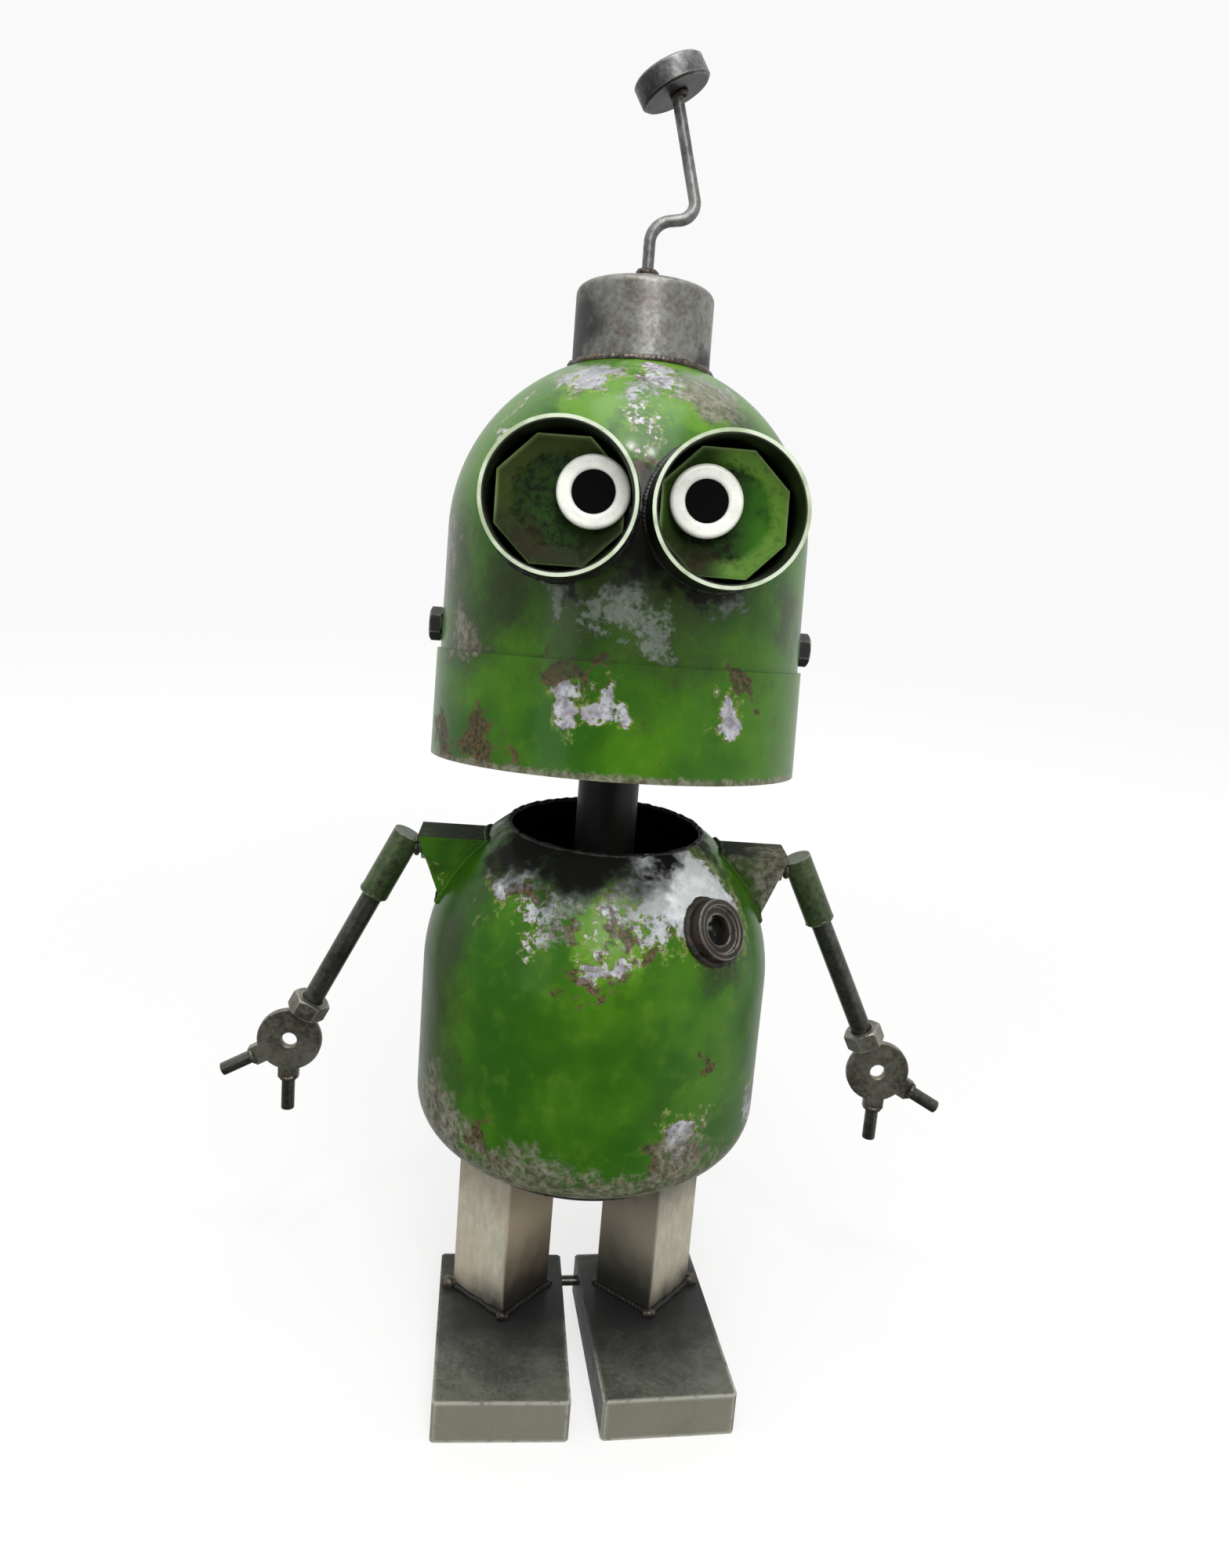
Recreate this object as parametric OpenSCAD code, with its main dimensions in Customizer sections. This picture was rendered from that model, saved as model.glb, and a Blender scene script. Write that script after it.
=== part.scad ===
// Sheet-metal robot figure with a clockwork movement that turns its head.
// Millimetres, +Z up. The robot faces -Y and stands on z = 0, and the neck's axis is the Z axis.
// Left and right are as seen from the front, so left is -X.

/* [Torso] */
// Outer radius of the bottle-shaped torso
torso_r = 49; // [48.5:0.25:50]
// Height of the crown's centre above the floor
torso_crown_z = 114; // [113:0.5:116]
// Height of the torso's lower edge
torso_bottom_z = 62.8; // [62.4:0.1:63]
// Radius of the opening round the neck
torso_neck_r = 27; // [20:1:30]
// Sheet thickness of the torso
torso_wall = 1.5; // [1.2:0.1:1.8]

/* [Legs and feet] */
// Side of the square leg tube
leg_side = 20; // [18:0.5:22]
// Width of a foot
foot_w = 36.6; // [34:0.2:38]
// Length of a foot
foot_l = 61.2; // [56:0.2:66]
// Thickness of a foot
foot_t = 12; // [10:0.5:14]
// Twist of the legs and feet under the torso, in degrees
stance_twist = 5; // [0:1:8]
// Toe-out of each foot, in degrees
toe_out = 1.9; // [0:0.1:4]

/* [Head] */
// Outer radius of the dome
dome_r = 48.6; // [48.2:0.1:49]
// Sheet thickness of the head
head_wall = 1.2; // [1:0.1:1.4]
// Height of the lower band, up to the lap seam
band_h = 28; // [24:0.5:30]
// Height of the dome's straight side above the band's lower edge
dome_side_h = 60.5; // [58:0.5:63]
// Backward lean of the head at rest, in degrees
head_lean = 7.8; // [6:0.1:9]
// Height of the nod pivot above the floor
nod_z = 208.4; // [207:0.1:210]
// Radius of the top cap
cap_r = 18.6; // [16:0.2:20]
// Height of the top cap's crown above the band's lower edge
cap_top_h = 127.4; // [126:0.1:130]

/* [Eyes] */
// Outer radius of an eye tube
eye_r = 18; // [17:0.1:18.5]
// Distance of an eye's centre from the middle of the face
eye_x = 19.5; // [19.3:0.1:20]
// Height of the eyes above the band's lower edge
eye_h = 64.5; // [62:0.5:66]
// Distance of the eye rims in front of the neck's axis
eye_reach = 61.7; // [60:0.1:64]
// Outward turn of each eye tube, in degrees
eye_splay = 2.5; // [0:0.5:4]

/* [Arms] */
// Outward lean of a hanging arm, in degrees
arm_lean = 26; // [24:0.5:30]
// Height of the shoulder pins
shoulder_z = 145; // [144:0.5:145.5]
// Distance of an arm's top from the middle
arm_x = 57; // [57:0.5:59]
// Length from the shoulder pin to the middle of the hand
arm_l = 67.9; // [60:0.1:75]

/* [Movement] */
// Height of the spring barrel's arbor
barrel_z = 88; // [87:0.5:89]
// Half the space between the motor plates
plate_y = 17; // [16.8:0.1:17.2]
// Running clearance between a shaft and its bore
run_gap = 0.05; // [0.03:0.01:0.08]

/* [Hidden] */
$fn = 72;

green = "yellowgreen";
steel = "silver";
dark_steel = "dimgray";
brass = "goldenrod";

// Torso
knuckle_r = 13.5;
lip_r = 31.5;
weld_gap = 0.02;
base_r = 37.5;
base_t = 2;
base_z = torso_bottom_z - base_t;

// Chest boss: a ring on the sphere of the crown, turned from the front and raised from the horizontal
boss_turn = 40.7;
boss_rise = 28.4;
boss_r = 8;
boss_hole_r = 4;
boss_lip = 1.8;
boss_step = 1.2;
boss_proud = 4;

// Screws and nuts
screw_r = 1.5;
screw_head_r = 2.8;
screw_head_h = 2;
lip_screw_r = 33.4;
flange_screw = [10, 21.5];
m5_r = 2.5;
m5_across = 9.2;
m5_nut_h = 2.4;

// Legs and feet, in the twisted stance
leg_x = 21.4;
leg_y = -5.5;
leg_wall = 2;
foot_x = 21.6;
foot_y = -22;
foot_chamfer = 0.8;
tie_r = 1.5;
tie_y = 2.5;
tie_z = 7;
tie_reach = 12;

// Movement. Teeth counts and modules of the gear pairs
barrel_teeth = 48;
barrel_pinion_teeth = 12;
barrel_module = 0.8;
fly_wheel_teeth = 36;
fly_pinion_teeth = 9;
fly_module = 0.7;
crown_teeth = 20;
crown_pinion_teeth = 10;
crown_module = 1;
second_z = barrel_z + barrel_module * (barrel_teeth + barrel_pinion_teeth) / 2;
fly_x = fly_module * (fly_wheel_teeth + fly_pinion_teeth) / 2;
crown_pitch_z = second_z + crown_module * crown_pinion_teeth / 2;
crown_r = crown_module * crown_teeth / 2;
crown_face = 3;
plate_t = 1.5;
plate_half_w = 24;
plate_top_z = second_z + 15;
flange_y = 25;
flange_half_w = 15;
pillar_r = 2.5;
pillar_x = 19;
pillar_zs = [barrel_z - 18, second_z + 10];
second_pivot_r = 1.5;
fly_pivot_r = 1;
arbor_r = 3;
arbor_pivot_r = 2;
drum_r = 18.4;
drum_wall = 1.2;
barrel_y = -15.5;
barrel_gear_t = 2.5;
drum_end_y = 5;
spring_turns = 6;
spring_t = 0.5;
spring_steps = 20;

// Clutch spring: a coil round the arbor behind the rear motor plate, with a straight tail
coil_wire_r = 0.55;
coil_r = arbor_r + 0.15 + coil_wire_r;
coil_y = plate_y + plate_t + 0.1 + coil_wire_r;
coil_turns = 6;
coil_steps = 14;
coil_pitch = 1.25;
spring_tail = [8, barrel_z + coil_r];

// Neck
spindle_r = 4;
neck_r = 8.5;
neck_bore_r = 6.9;
bridge_z = plate_top_z;
bridge_t = 2.5;
bridge_half_w = 12;
bridge_tab = 8;
bridge_screw_x = 8;
bridge_screw_z = plate_top_z - 4.5;
bridge_screw_r = 1.2;
bridge_screw_head = [2.2, 1.6];
bush_flange_h = 3.45;
neck_foot_z = bridge_z + bridge_t + bush_flange_h + run_gap;
neck_top_z = 188;
yoke_t = 2.5;
yoke_half_w = 6;
yoke_x = 44.5;
yoke_arm_t = 2;

// Head, measured up from the band's lower edge along the head's own axis
nod_h = 34.3;
band_wall = 0.9;
lap_h = 6;
cap_wall = 1.2;
cap_round = 2.5;
eye_wall = 1.3;
dish_back_y = -49.05;
dish_depth = 2.65;
dish_sheet = 0.8;
dish_r = 16.2;
dish_floor_r = 10;
eye_ring_r = 8.6;
eye_ring_hole_r = 5;
eye_ring_t = 2.6;
eye_ring_y = -51.8;
gaze_left = [7.6, 2.3];
gaze_right = [-4.6, 2.2];

// Antenna: each step is a straight run, a turn towards +X in degrees and the turn's radius
antenna_r = 1.6;
antenna_steps = [[16, 80, 6.2], [2.5, -94, 4.6], [30.4, 0, 1]];
antenna_foot_h = cap_top_h - 3;
antenna_disc_r = 9.9;
antenna_disc_t = 6.6;
antenna_disc_at = [2.9, 182.6];
antenna_disc_lean = 29;

// Shoulders and arms, drawn for the right side and mirrored for the left
bracket_x = 52;
bracket_top_z = shoulder_z + 5;
bracket_drop = 19;
bracket_slant = 7.5;
bracket_half_w = 7;
bracket_sheet = 1.5;
pin_r = 2;
pin_boss = [44, 51.2];
pin_head = [41.2, 43.9];
sleeve_r = 4.15;
sleeve_top = 4;
sleeve_l = 16.5;
rod_r = 2.95;
rod_start = 4.6;
wrist_start = 53.4;
wrist_h = 5.1;
wrist_r = 5.7;
hand_r = 9.3;
hand_hole_r = 2.2;
hand_t = 2.2;
lug_reach = 12;
lug_w = 6;
finger_r = 1.9;
finger_reach = 21.7;
finger_angles = [-arm_lean, 34.5];

// ---- Helpers ----

// Mirrors a right-hand shape for the left side
module on_side(side) {
    if (side < 0) mirror([1, 0, 0]) children();
    else children();
}

// A 2-D outline in x and z, given thickness from y0 to y0 + h
module slab_y(y0, h) {
    translate([0, y0 + h, 0]) rotate([90, 0, 0]) linear_extrude(h) children();
}

// A round bar along Y
module rod_y(x, z, y0, y1, r) {
    translate([x, y1, z]) rotate([90, 0, 0]) cylinder(r = r, h = y1 - y0);
}

// A round bar along X
module rod_x(x0, x1, z, r) {
    translate([x0, 0, z]) rotate([0, 90, 0]) cylinder(r = r, h = x1 - x0);
}

// Outline of a gear with straight-sided teeth, cut narrow to leave backlash
module gear_outline(teeth, gear_module, phase = 0) {
    pitch = 360 / teeth;
    root_r = gear_module * (teeth / 2 - 1.2);
    tip_r = gear_module * (teeth / 2 + 0.85);
    corners = [[root_r, -0.27], [tip_r, -0.09], [tip_r, 0.09], [root_r, 0.27]];
    polygon([for (i = [0:teeth - 1], c = corners)
        c[0] * [cos(phase + (i + c[1]) * pitch), sin(phase + (i + c[1]) * pitch)]]);
}

// A ring of points round a centre, in the plane of two directions at right angles
function ring_points(centre, u, v, r, sides) =
    [for (i = [0:sides - 1]) centre + r * (cos(i * 360 / sides) * u + sin(i * 360 / sides) * v)];

// A solid tube through a list of rings, each turning clockwise about the way the tube runs
module swept_tube(rings) {
    n = len(rings[0]);
    last = len(rings) - 1;
    polyhedron([for (ring = rings) each ring], concat(
        [[for (j = [0:n - 1]) j]],
        [for (i = [0:last - 1], j = [0:n - 1])
            [i * n + j, (i + 1) * n + j, (i + 1) * n + (j + 1) % n, i * n + (j + 1) % n]],
        [[for (j = [n - 1:-1:0]) last * n + j]]));
}

// Solid of revolution of a bottle: domed top, straight side and rounded lower edge
module bottle_outline(r, crown, bottom, knuckle) {
    intersection() {
        union() {
            translate([0, crown]) circle(r = r);
            translate([0, bottom + knuckle]) square([r, crown - bottom - knuckle]);
            translate([r - knuckle, bottom + knuckle]) circle(r = knuckle);
            translate([0, bottom]) square([r - knuckle, knuckle]);
        }
        translate([0, bottom]) square([r, 2 * r + crown]);
    }
}

// Moves a shape from the head's own frame to its place on the neck
module on_head() {
    translate([0, 0, nod_z]) rotate([-head_lean, 0, 0]) translate([0, 0, -nod_h]) children();
}

// The dome's outer form, filled
module dome_form(r) {
    translate([0, 0, band_h - lap_h]) cylinder(r = r, h = dome_side_h - band_h + lap_h);
    translate([0, 0, dome_side_h]) intersection() {
        sphere(r = r);
        cylinder(r = r + 1, h = r + 1);
    }
}

// ---- Torso ----

module torso_shell() {
    color(green) difference() {
        rotate_extrude() difference() {
            bottle_outline(torso_r, torso_crown_z, torso_bottom_z, knuckle_r);
            bottle_outline(torso_r - torso_wall, torso_crown_z, torso_bottom_z + torso_wall,
                knuckle_r - torso_wall);
            translate([0, torso_crown_z]) square([torso_neck_r, torso_r + 1]);
            square([lip_r, torso_bottom_z + 2 * torso_wall]);
        }
        rod_y(0, barrel_z, 0, torso_r + 1, 5.5);
        lip_screw_holes();
    }
}

module lip_screw_holes() {
    for (a = [45:90:315]) rotate([0, 0, a]) translate([lip_screw_r, 0, base_z - 1])
        cylinder(r = screw_r, h = 8);
}

module chest_boss() {
    color(steel) translate([0, 0, torso_crown_z]) rotate([0, 90 - boss_rise, boss_turn - 90])
        rotate_extrude() difference() {
            translate([boss_hole_r, 0]) square([boss_r - boss_hole_r, torso_r + boss_proud]);
            translate([0, torso_r + boss_proud - boss_step]) square([boss_r - boss_lip, 2 * boss_step]);
            circle(r = torso_r + weld_gap);
        }
}

module shoulder_bracket(side) {
    inner = bracket_x - 22;
    foot_x0 = bracket_x - bracket_slant;
    foot_z = bracket_top_z - bracket_drop;
    skin = 2.2;
    color(green) on_side(side) difference() {
        union() {
            difference() {
                slab_y(-bracket_half_w, 2 * bracket_half_w) polygon([[inner, bracket_top_z],
                    [bracket_x, bracket_top_z], [foot_x0, foot_z], [inner, foot_z]]);
                slab_y(bracket_sheet - bracket_half_w, 2 * (bracket_half_w - bracket_sheet))
                    polygon([[inner - 1, bracket_top_z - bracket_sheet],
                        [bracket_x - skin, bracket_top_z - bracket_sheet],
                        [foot_x0 - 0.6, foot_z + 2.5], [inner - 1, foot_z + 2.5]]);
            }
            rod_x(pin_boss[0], pin_boss[1], shoulder_z, pin_r + 1.5);
        }
        rod_x(0, bracket_x + 1, shoulder_z, pin_r + run_gap);
        translate([0, 0, torso_crown_z]) sphere(r = torso_r + weld_gap);
    }
}

module torso_base_plate() {
    color(dark_steel) difference() {
        translate([0, 0, base_z]) cylinder(r = base_r, h = base_t);
        lip_screw_holes();
        flange_screw_holes();
    }
}

module flange_screw_holes() {
    for (x = [-1, 1], y = [-1, 1]) translate([x * flange_screw[0], y * flange_screw[1], base_z - 1])
        cylinder(r = screw_r, h = 6);
}

module base_screw() {
    translate([0, 0, base_z - screw_head_h]) cylinder(r = screw_head_r, h = screw_head_h);
    translate([0, 0, base_z]) cylinder(r = screw_r, h = 5.5);
}

module base_screws() {
    color(steel) {
        for (a = [45:90:315]) rotate([0, 0, a]) translate([lip_screw_r, 0, 0]) base_screw();
        for (x = [-1, 1], y = [-1, 1]) translate([x * flange_screw[0], y * flange_screw[1], 0])
            base_screw();
    }
}

// ---- Legs and feet ----

module in_stance() {
    rotate([0, 0, stance_twist]) children();
}

module leg(side) {
    bore = leg_side - 2 * leg_wall;
    color(steel) in_stance() translate([side * leg_x, leg_y, foot_t]) rotate([0, 0, 45])
        difference() {
            translate([-leg_side / 2, -leg_side / 2, 0])
                cube([leg_side, leg_side, base_z - foot_t]);
            translate([-bore / 2, -bore / 2, -1]) cube([bore, bore, base_z]);
        }
}

module tie_bar() {
    translate([0, tie_y, 0]) rod_x(-tie_reach, tie_reach, tie_z, tie_r);
}

module foot(side) {
    w = foot_w / 2;
    l = foot_l / 2;
    c = foot_chamfer;
    color(dark_steel) in_stance() difference() {
        translate([side * foot_x, foot_y, 0]) rotate([0, 0, side * toe_out])
            linear_extrude(foot_t) polygon([[-w, c - l], [c - w, -l], [w - c, -l], [w, c - l],
                [w, l - c], [w - c, l], [c - w, l], [-w, l - c]]);
        tie_bar();
    }
}

module ankle_tie_rod() {
    color(dark_steel) in_stance() tie_bar();
}

// ---- Motor frame ----

module motor_plate(side, arbor_hole_r) {
    top_cut = 6;
    w = plate_half_w;
    y0 = side < 0 ? -plate_y - plate_t : plate_y;
    flange_y0 = side < 0 ? -flange_y : plate_y;
    color(brass) difference() {
        union() {
            slab_y(y0, plate_t) polygon([[-w, torso_bottom_z], [w, torso_bottom_z],
                [w, plate_top_z - top_cut], [w - top_cut, plate_top_z],
                [top_cut - w, plate_top_z], [-w, plate_top_z - top_cut]]);
            translate([-flange_half_w, flange_y0, torso_bottom_z])
                cube([2 * flange_half_w, flange_y - plate_y, plate_t]);
        }
        rod_y(0, barrel_z, -30, 30, arbor_hole_r);
        rod_y(0, second_z, -30, 30, second_pivot_r + run_gap);
        rod_y(fly_x, second_z, -30, 30, fly_pivot_r + run_gap);
        for (x = [-1, 1], z = pillar_zs) rod_y(x * pillar_x, z, -30, 30, screw_r);
        for (x = [-1, 1]) bridge_screw_bore(x);
        if (side > 0) rod_y(spring_tail[0], spring_tail[1], 0, 30, 0.65);
        flange_screw_holes();
    }
}

module motor_front_plate() {
    motor_plate(-1, arbor_pivot_r + run_gap);
}

module motor_rear_plate() {
    motor_plate(1, arbor_r + run_gap);
}

module motor_pillars() {
    color(steel) for (x = [-1, 1], z = pillar_zs) {
        rod_y(x * pillar_x, z, -plate_y, plate_y, pillar_r);
        rod_y(x * pillar_x, z, -plate_y - 4.5, plate_y + 4.5, screw_r);
    }
}

module pillar_nuts() {
    nut_h = 2.2;
    color(steel) for (x = [-1, 1], z = pillar_zs, y = [-plate_y - plate_t - nut_h, plate_y + plate_t])
        difference() {
            translate([x * pillar_x, y + nut_h, z]) rotate([90, 0, 0])
                cylinder(r = 3.2, h = nut_h, $fn = 6);
            rod_y(x * pillar_x, z, -30, 30, screw_r);
        }
}

module bridge_screw_bore(x) {
    rod_y(x * bridge_screw_x, bridge_screw_z, -30, 30, bridge_screw_r);
}

module neck_bridge() {
    out = plate_y + plate_t;
    color(brass) difference() {
        union() {
            translate([-bridge_half_w, -out - plate_t, bridge_z])
                cube([2 * bridge_half_w, 2 * (out + plate_t), bridge_t]);
            for (y = [-out - plate_t, out]) translate([-bridge_half_w, y, bridge_z - bridge_tab])
                cube([2 * bridge_half_w, plate_t, bridge_tab]);
        }
        translate([0, 0, bridge_z - 1]) cylinder(r = spindle_r + 2, h = bridge_t + 2);
        for (x = [-1, 1]) bridge_screw_bore(x);
    }
}

module bridge_screws() {
    out = plate_y + 2 * plate_t;
    color(steel) for (x = [-1, 1], turn = [0, 180]) rotate([0, 0, turn]) {
        rod_y(x * bridge_screw_x, bridge_screw_z, plate_y, out, bridge_screw_r);
        rod_y(x * bridge_screw_x, bridge_screw_z, out, out + bridge_screw_head[1], bridge_screw_head[0]);
    }
}

module neck_bush() {
    color(brass) difference() {
        union() {
            translate([0, 0, bridge_z]) cylinder(r = spindle_r + 2, h = bridge_t);
            translate([0, 0, bridge_z + bridge_t]) cylinder(r = 9, h = bush_flange_h);
        }
        translate([0, 0, bridge_z - 1])
            cylinder(r = spindle_r + run_gap, h = bridge_t + bush_flange_h + 2);
    }
}

module key_bush() {
    color(brass) difference() {
        union() {
            rod_y(0, barrel_z, torso_r - 5, torso_r + 1.6, 5.5);
            difference() {
                rod_y(0, barrel_z, torso_r - 2, torso_r + 1.6, 9);
                translate([0, 0, torso_bottom_z]) cylinder(r = torso_r + weld_gap, h = 51);
            }
        }
        rod_y(0, barrel_z, 0, 60, arbor_r + run_gap);
    }
}

// A wrap spring that grips the arbor one way, with its tail in the rear motor plate
module clutch_spring() {
    color(steel) {
        translate([0, coil_y, barrel_z]) rotate([-90, 0, 0]) swept_tube([
            for (i = [0:coil_turns * coil_steps]) let (a = -90 + i * 360 / coil_steps)
                ring_points([coil_r * cos(a), coil_r * sin(a), coil_pitch * i / coil_steps],
                    [cos(a), sin(a), 0], [0, 0, -1], coil_wire_r, 6)]);
        translate([0, coil_y, 0]) rod_x(0, spring_tail[0], spring_tail[1], coil_wire_r);
        translate([spring_tail[0], coil_y, spring_tail[1]]) sphere(r = coil_wire_r, $fn = 24);
        rod_y(spring_tail[0], spring_tail[1], plate_y, coil_y, coil_wire_r);
    }
}

// ---- Winding and gear train ----

module winding_arbor() {
    color(steel) {
        rod_y(0, barrel_z, -plate_y - plate_t, -plate_y + 0.3, arbor_pivot_r);
        rod_y(0, barrel_z, -plate_y + 0.3, torso_r + 10, arbor_r);
    }
}

module winding_key() {
    hub_y = torso_r + 2;
    bow_y = torso_r + 17;
    bow_x = 9.5;
    bow_r = 8;
    color(brass) difference() {
        union() {
            rod_y(0, barrel_z, hub_y, hub_y + 11, 4.4);
            translate([0, 0, barrel_z - 1.1]) linear_extrude(2.2) difference() {
                union() {
                    for (s = [-1, 1]) translate([s * bow_x, bow_y]) circle(r = bow_r);
                    translate([-4, hub_y + 5]) square([8, bow_y - hub_y - 2]);
                }
                for (s = [-1, 1]) translate([s * bow_x, bow_y]) circle(r = 4.4);
            }
        }
        rod_y(0, barrel_z, hub_y - 1, torso_r + 10, arbor_r);
    }
}

function spiral(angle, r0, pitch) = (r0 + pitch * angle / 360) * [cos(angle), sin(angle)];

module mainspring() {
    inner_r = arbor_r + 1;
    step = 360 / spring_steps;
    last = spring_turns * spring_steps;
    pitch = (drum_r - drum_wall - inner_r - 2 * spring_t) / spring_turns;
    color(steel) slab_y(barrel_y + barrel_gear_t + 0.5, drum_end_y - barrel_y - barrel_gear_t - 2.2)
        translate([0, barrel_z]) polygon(concat(
            [for (i = [0:last]) spiral(i * step, inner_r, pitch)],
            [for (i = [last:-1:0]) spiral(i * step, inner_r + spring_t, pitch)]));
}

module spring_barrel() {
    drum_y = barrel_y + barrel_gear_t;
    color(brass) difference() {
        union() {
            slab_y(barrel_y, barrel_gear_t) translate([0, barrel_z])
                gear_outline(barrel_teeth, barrel_module);
            rod_y(0, barrel_z, drum_y, drum_end_y, drum_r);
        }
        rod_y(0, barrel_z, drum_y, drum_end_y - drum_wall, drum_r - drum_wall);
        rod_y(0, barrel_z, -30, 30, arbor_r + run_gap);
    }
}

module second_arbor() {
    color(brass) {
        rod_y(0, second_z, -plate_y - plate_t, plate_y + plate_t, second_pivot_r);
        rod_y(0, second_z, -plate_y + 0.3, plate_y - 0.3, second_pivot_r + 0.5);
        slab_y(-plate_y + 1, 4) translate([0, second_z])
            gear_outline(barrel_pinion_teeth, barrel_module, 180 / barrel_pinion_teeth);
        slab_y(crown_r - 2, 4) translate([0, second_z])
            gear_outline(crown_pinion_teeth, crown_module);
        slab_y(plate_y - 3, 1.5) translate([0, second_z])
            gear_outline(fly_wheel_teeth, fly_module);
    }
}

module governor_fly() {
    vane_r = 6;
    vane_y = -15;
    vane_l = 8;
    color(steel) {
        rod_y(fly_x, second_z, -plate_y - plate_t, plate_y + plate_t, fly_pivot_r);
        rod_y(fly_x, second_z, -plate_y + 0.3, plate_y - 0.3, fly_pivot_r + 0.4);
        slab_y(plate_y - 3.5, 2.6) translate([fly_x, second_z])
            gear_outline(fly_pinion_teeth, fly_module);
        slab_y(vane_y, vane_l) translate([fly_x, second_z]) {
            translate([-vane_r, -0.3]) square([2 * vane_r, 0.6]);
            circle(r = 2);
        }
    }
}

module contrate_wheel() {
    tip_z = crown_pitch_z - 0.85 * crown_module;
    root_z = crown_pitch_z + 1.25 * crown_module;
    pitch = 2 * PI * crown_module / 2;
    disc_t = 2;
    color(brass) {
        difference() {
            union() {
                translate([0, 0, root_z]) cylinder(r = crown_r + crown_face / 2, h = disc_t);
                translate([0, 0, root_z]) cylinder(r = spindle_r + 2.5, h = disc_t + 4);
            }
            translate([0, 0, root_z - 1]) cylinder(r = spindle_r, h = disc_t + 6);
        }
        for (i = [0:crown_teeth - 1]) rotate([0, 0, i * 360 / crown_teeth])
            translate([crown_r - crown_face / 2 + 0.05, 0, 0]) rotate([90, 0, 90])
                linear_extrude(crown_face - 0.1) polygon([[-0.2 * pitch, root_z + 0.3],
                    [-0.09 * pitch, tip_z], [0.09 * pitch, tip_z], [0.2 * pitch, root_z + 0.3]]);
    }
}

// ---- Neck ----

module neck_spindle() {
    color(steel) {
        translate([0, 0, crown_pitch_z + 0.6])
            cylinder(r = spindle_r, h = neck_foot_z - crown_pitch_z - 0.6);
        translate([0, 0, neck_foot_z]) cylinder(r = neck_bore_r, h = 14);
    }
}

module neck_tube() {
    color(dark_steel) translate([0, 0, neck_foot_z]) difference() {
        cylinder(r = neck_r, h = neck_top_z - neck_foot_z);
        translate([0, 0, -1]) cylinder(r = neck_bore_r, h = neck_top_z - neck_foot_z + 2);
    }
}

module neck_yoke() {
    arm_top = 6;
    color(dark_steel) difference() {
        union() {
            translate([0, 0, neck_top_z - 9]) cylinder(r = neck_bore_r, h = 9);
            translate([-yoke_x, -yoke_half_w, neck_top_z]) cube([2 * yoke_x, 2 * yoke_half_w, yoke_t]);
            for (s = [-1, 1]) on_side(s) {
                translate([yoke_x - yoke_arm_t, -yoke_half_w, neck_top_z])
                    cube([yoke_arm_t, 2 * yoke_half_w, nod_z - neck_top_z]);
                rod_x(yoke_x - yoke_arm_t, yoke_x, nod_z, arm_top);
            }
        }
        rod_x(-60, 60, nod_z, m5_r + run_gap);
    }
}

// ---- Head ----

module head_dome() {
    color(green) on_head() difference() {
        dome_form(dome_r);
        translate([0, 0, -0.01]) dome_form(dome_r - head_wall);
        translate([0, 0, band_h - lap_h - 1]) cylinder(r = dome_r - head_wall, h = 2);
        rod_x(-60, 60, nod_h, m5_r);
        translate([0, 0, cap_top_h - 30]) cylinder(r = antenna_r + 0.4, h = 20);
    }
}

module head_band() {
    band_bore = dome_r + weld_gap;
    color(green) on_head() difference() {
        cylinder(r = band_bore + band_wall, h = band_h);
        translate([0, 0, -1]) cylinder(r = band_bore, h = band_h + 2);
    }
}

module top_cap() {
    foot_h = dome_side_h + 40;
    color(steel) on_head() difference() {
        rotate_extrude() difference() {
            union() {
                square([cap_r, cap_top_h - cap_round]);
                square([cap_r - cap_round, cap_top_h]);
                translate([cap_r - cap_round, cap_top_h - cap_round]) circle(r = cap_round);
            }
            square([cap_r - cap_wall, cap_top_h - cap_wall - 1]);
            square([cap_r - cap_wall - 1, cap_top_h - cap_wall]);
            square([cap_r + 1, foot_h]);
        }
        translate([0, 0, dome_side_h]) sphere(r = dome_r + weld_gap);
        translate([0, 0, cap_top_h - 5]) cylinder(r = antenna_r, h = 10);
    }
}

module antenna_nut() {
    color(steel) on_head() translate([0, 0, cap_top_h]) difference() {
        cylinder(r = m5_across / 2, h = 3.8, $fn = 6);
        translate([0, 0, -1]) cylinder(r = antenna_r, h = 6);
    }
}

// Centre points and headings along the antenna: straight runs joined by arcs, starting upwards
function wire_path(steps, i = 0, p = [0, 0], h = 0) =
    let (turn = steps[i][1], n = ceil(abs(turn) / 8), corner = p + steps[i][0] * [sin(h), cos(h)],
        arc = [for (k = [0:n]) let (g = h + turn * k / max(n, 1))
            [corner + sign(turn) * steps[i][2] * [cos(h) - cos(g), sin(g) - sin(h)], g]])
    concat(i == 0 ? [[p, h]] : [], arc,
        i + 1 < len(steps) ? wire_path(steps, i + 1, arc[n][0], arc[n][1]) : []);

module antenna_wire() {
    color(steel) on_head() translate([0, 0, antenna_foot_h]) swept_tube([
        for (w = wire_path(antenna_steps)) ring_points([w[0][0], 0, w[0][1]],
            [cos(w[1]), 0, -sin(w[1])], [0, 1, 0], antenna_r, 12)]);
}

module antenna_disc() {
    edge = 0.7;
    half_t = antenna_disc_t / 2;
    color(dark_steel) on_head() translate([antenna_disc_at[0], 0, antenna_disc_at[1]])
        rotate([0, -antenna_disc_lean, 0]) rotate_extrude() polygon([[0, -half_t],
            [antenna_disc_r - edge, -half_t], [antenna_disc_r, edge - half_t],
            [antenna_disc_r, half_t - edge], [antenna_disc_r - edge, half_t], [0, half_t]]);
}

// ---- Eyes ----

// An eye's own frame: its rim's centre is the origin and the tube runs back along +Y
module on_eye(side) {
    on_head() translate([side * eye_x, -eye_reach, eye_h]) rotate([0, 0, side * eye_splay]) children();
}

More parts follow.
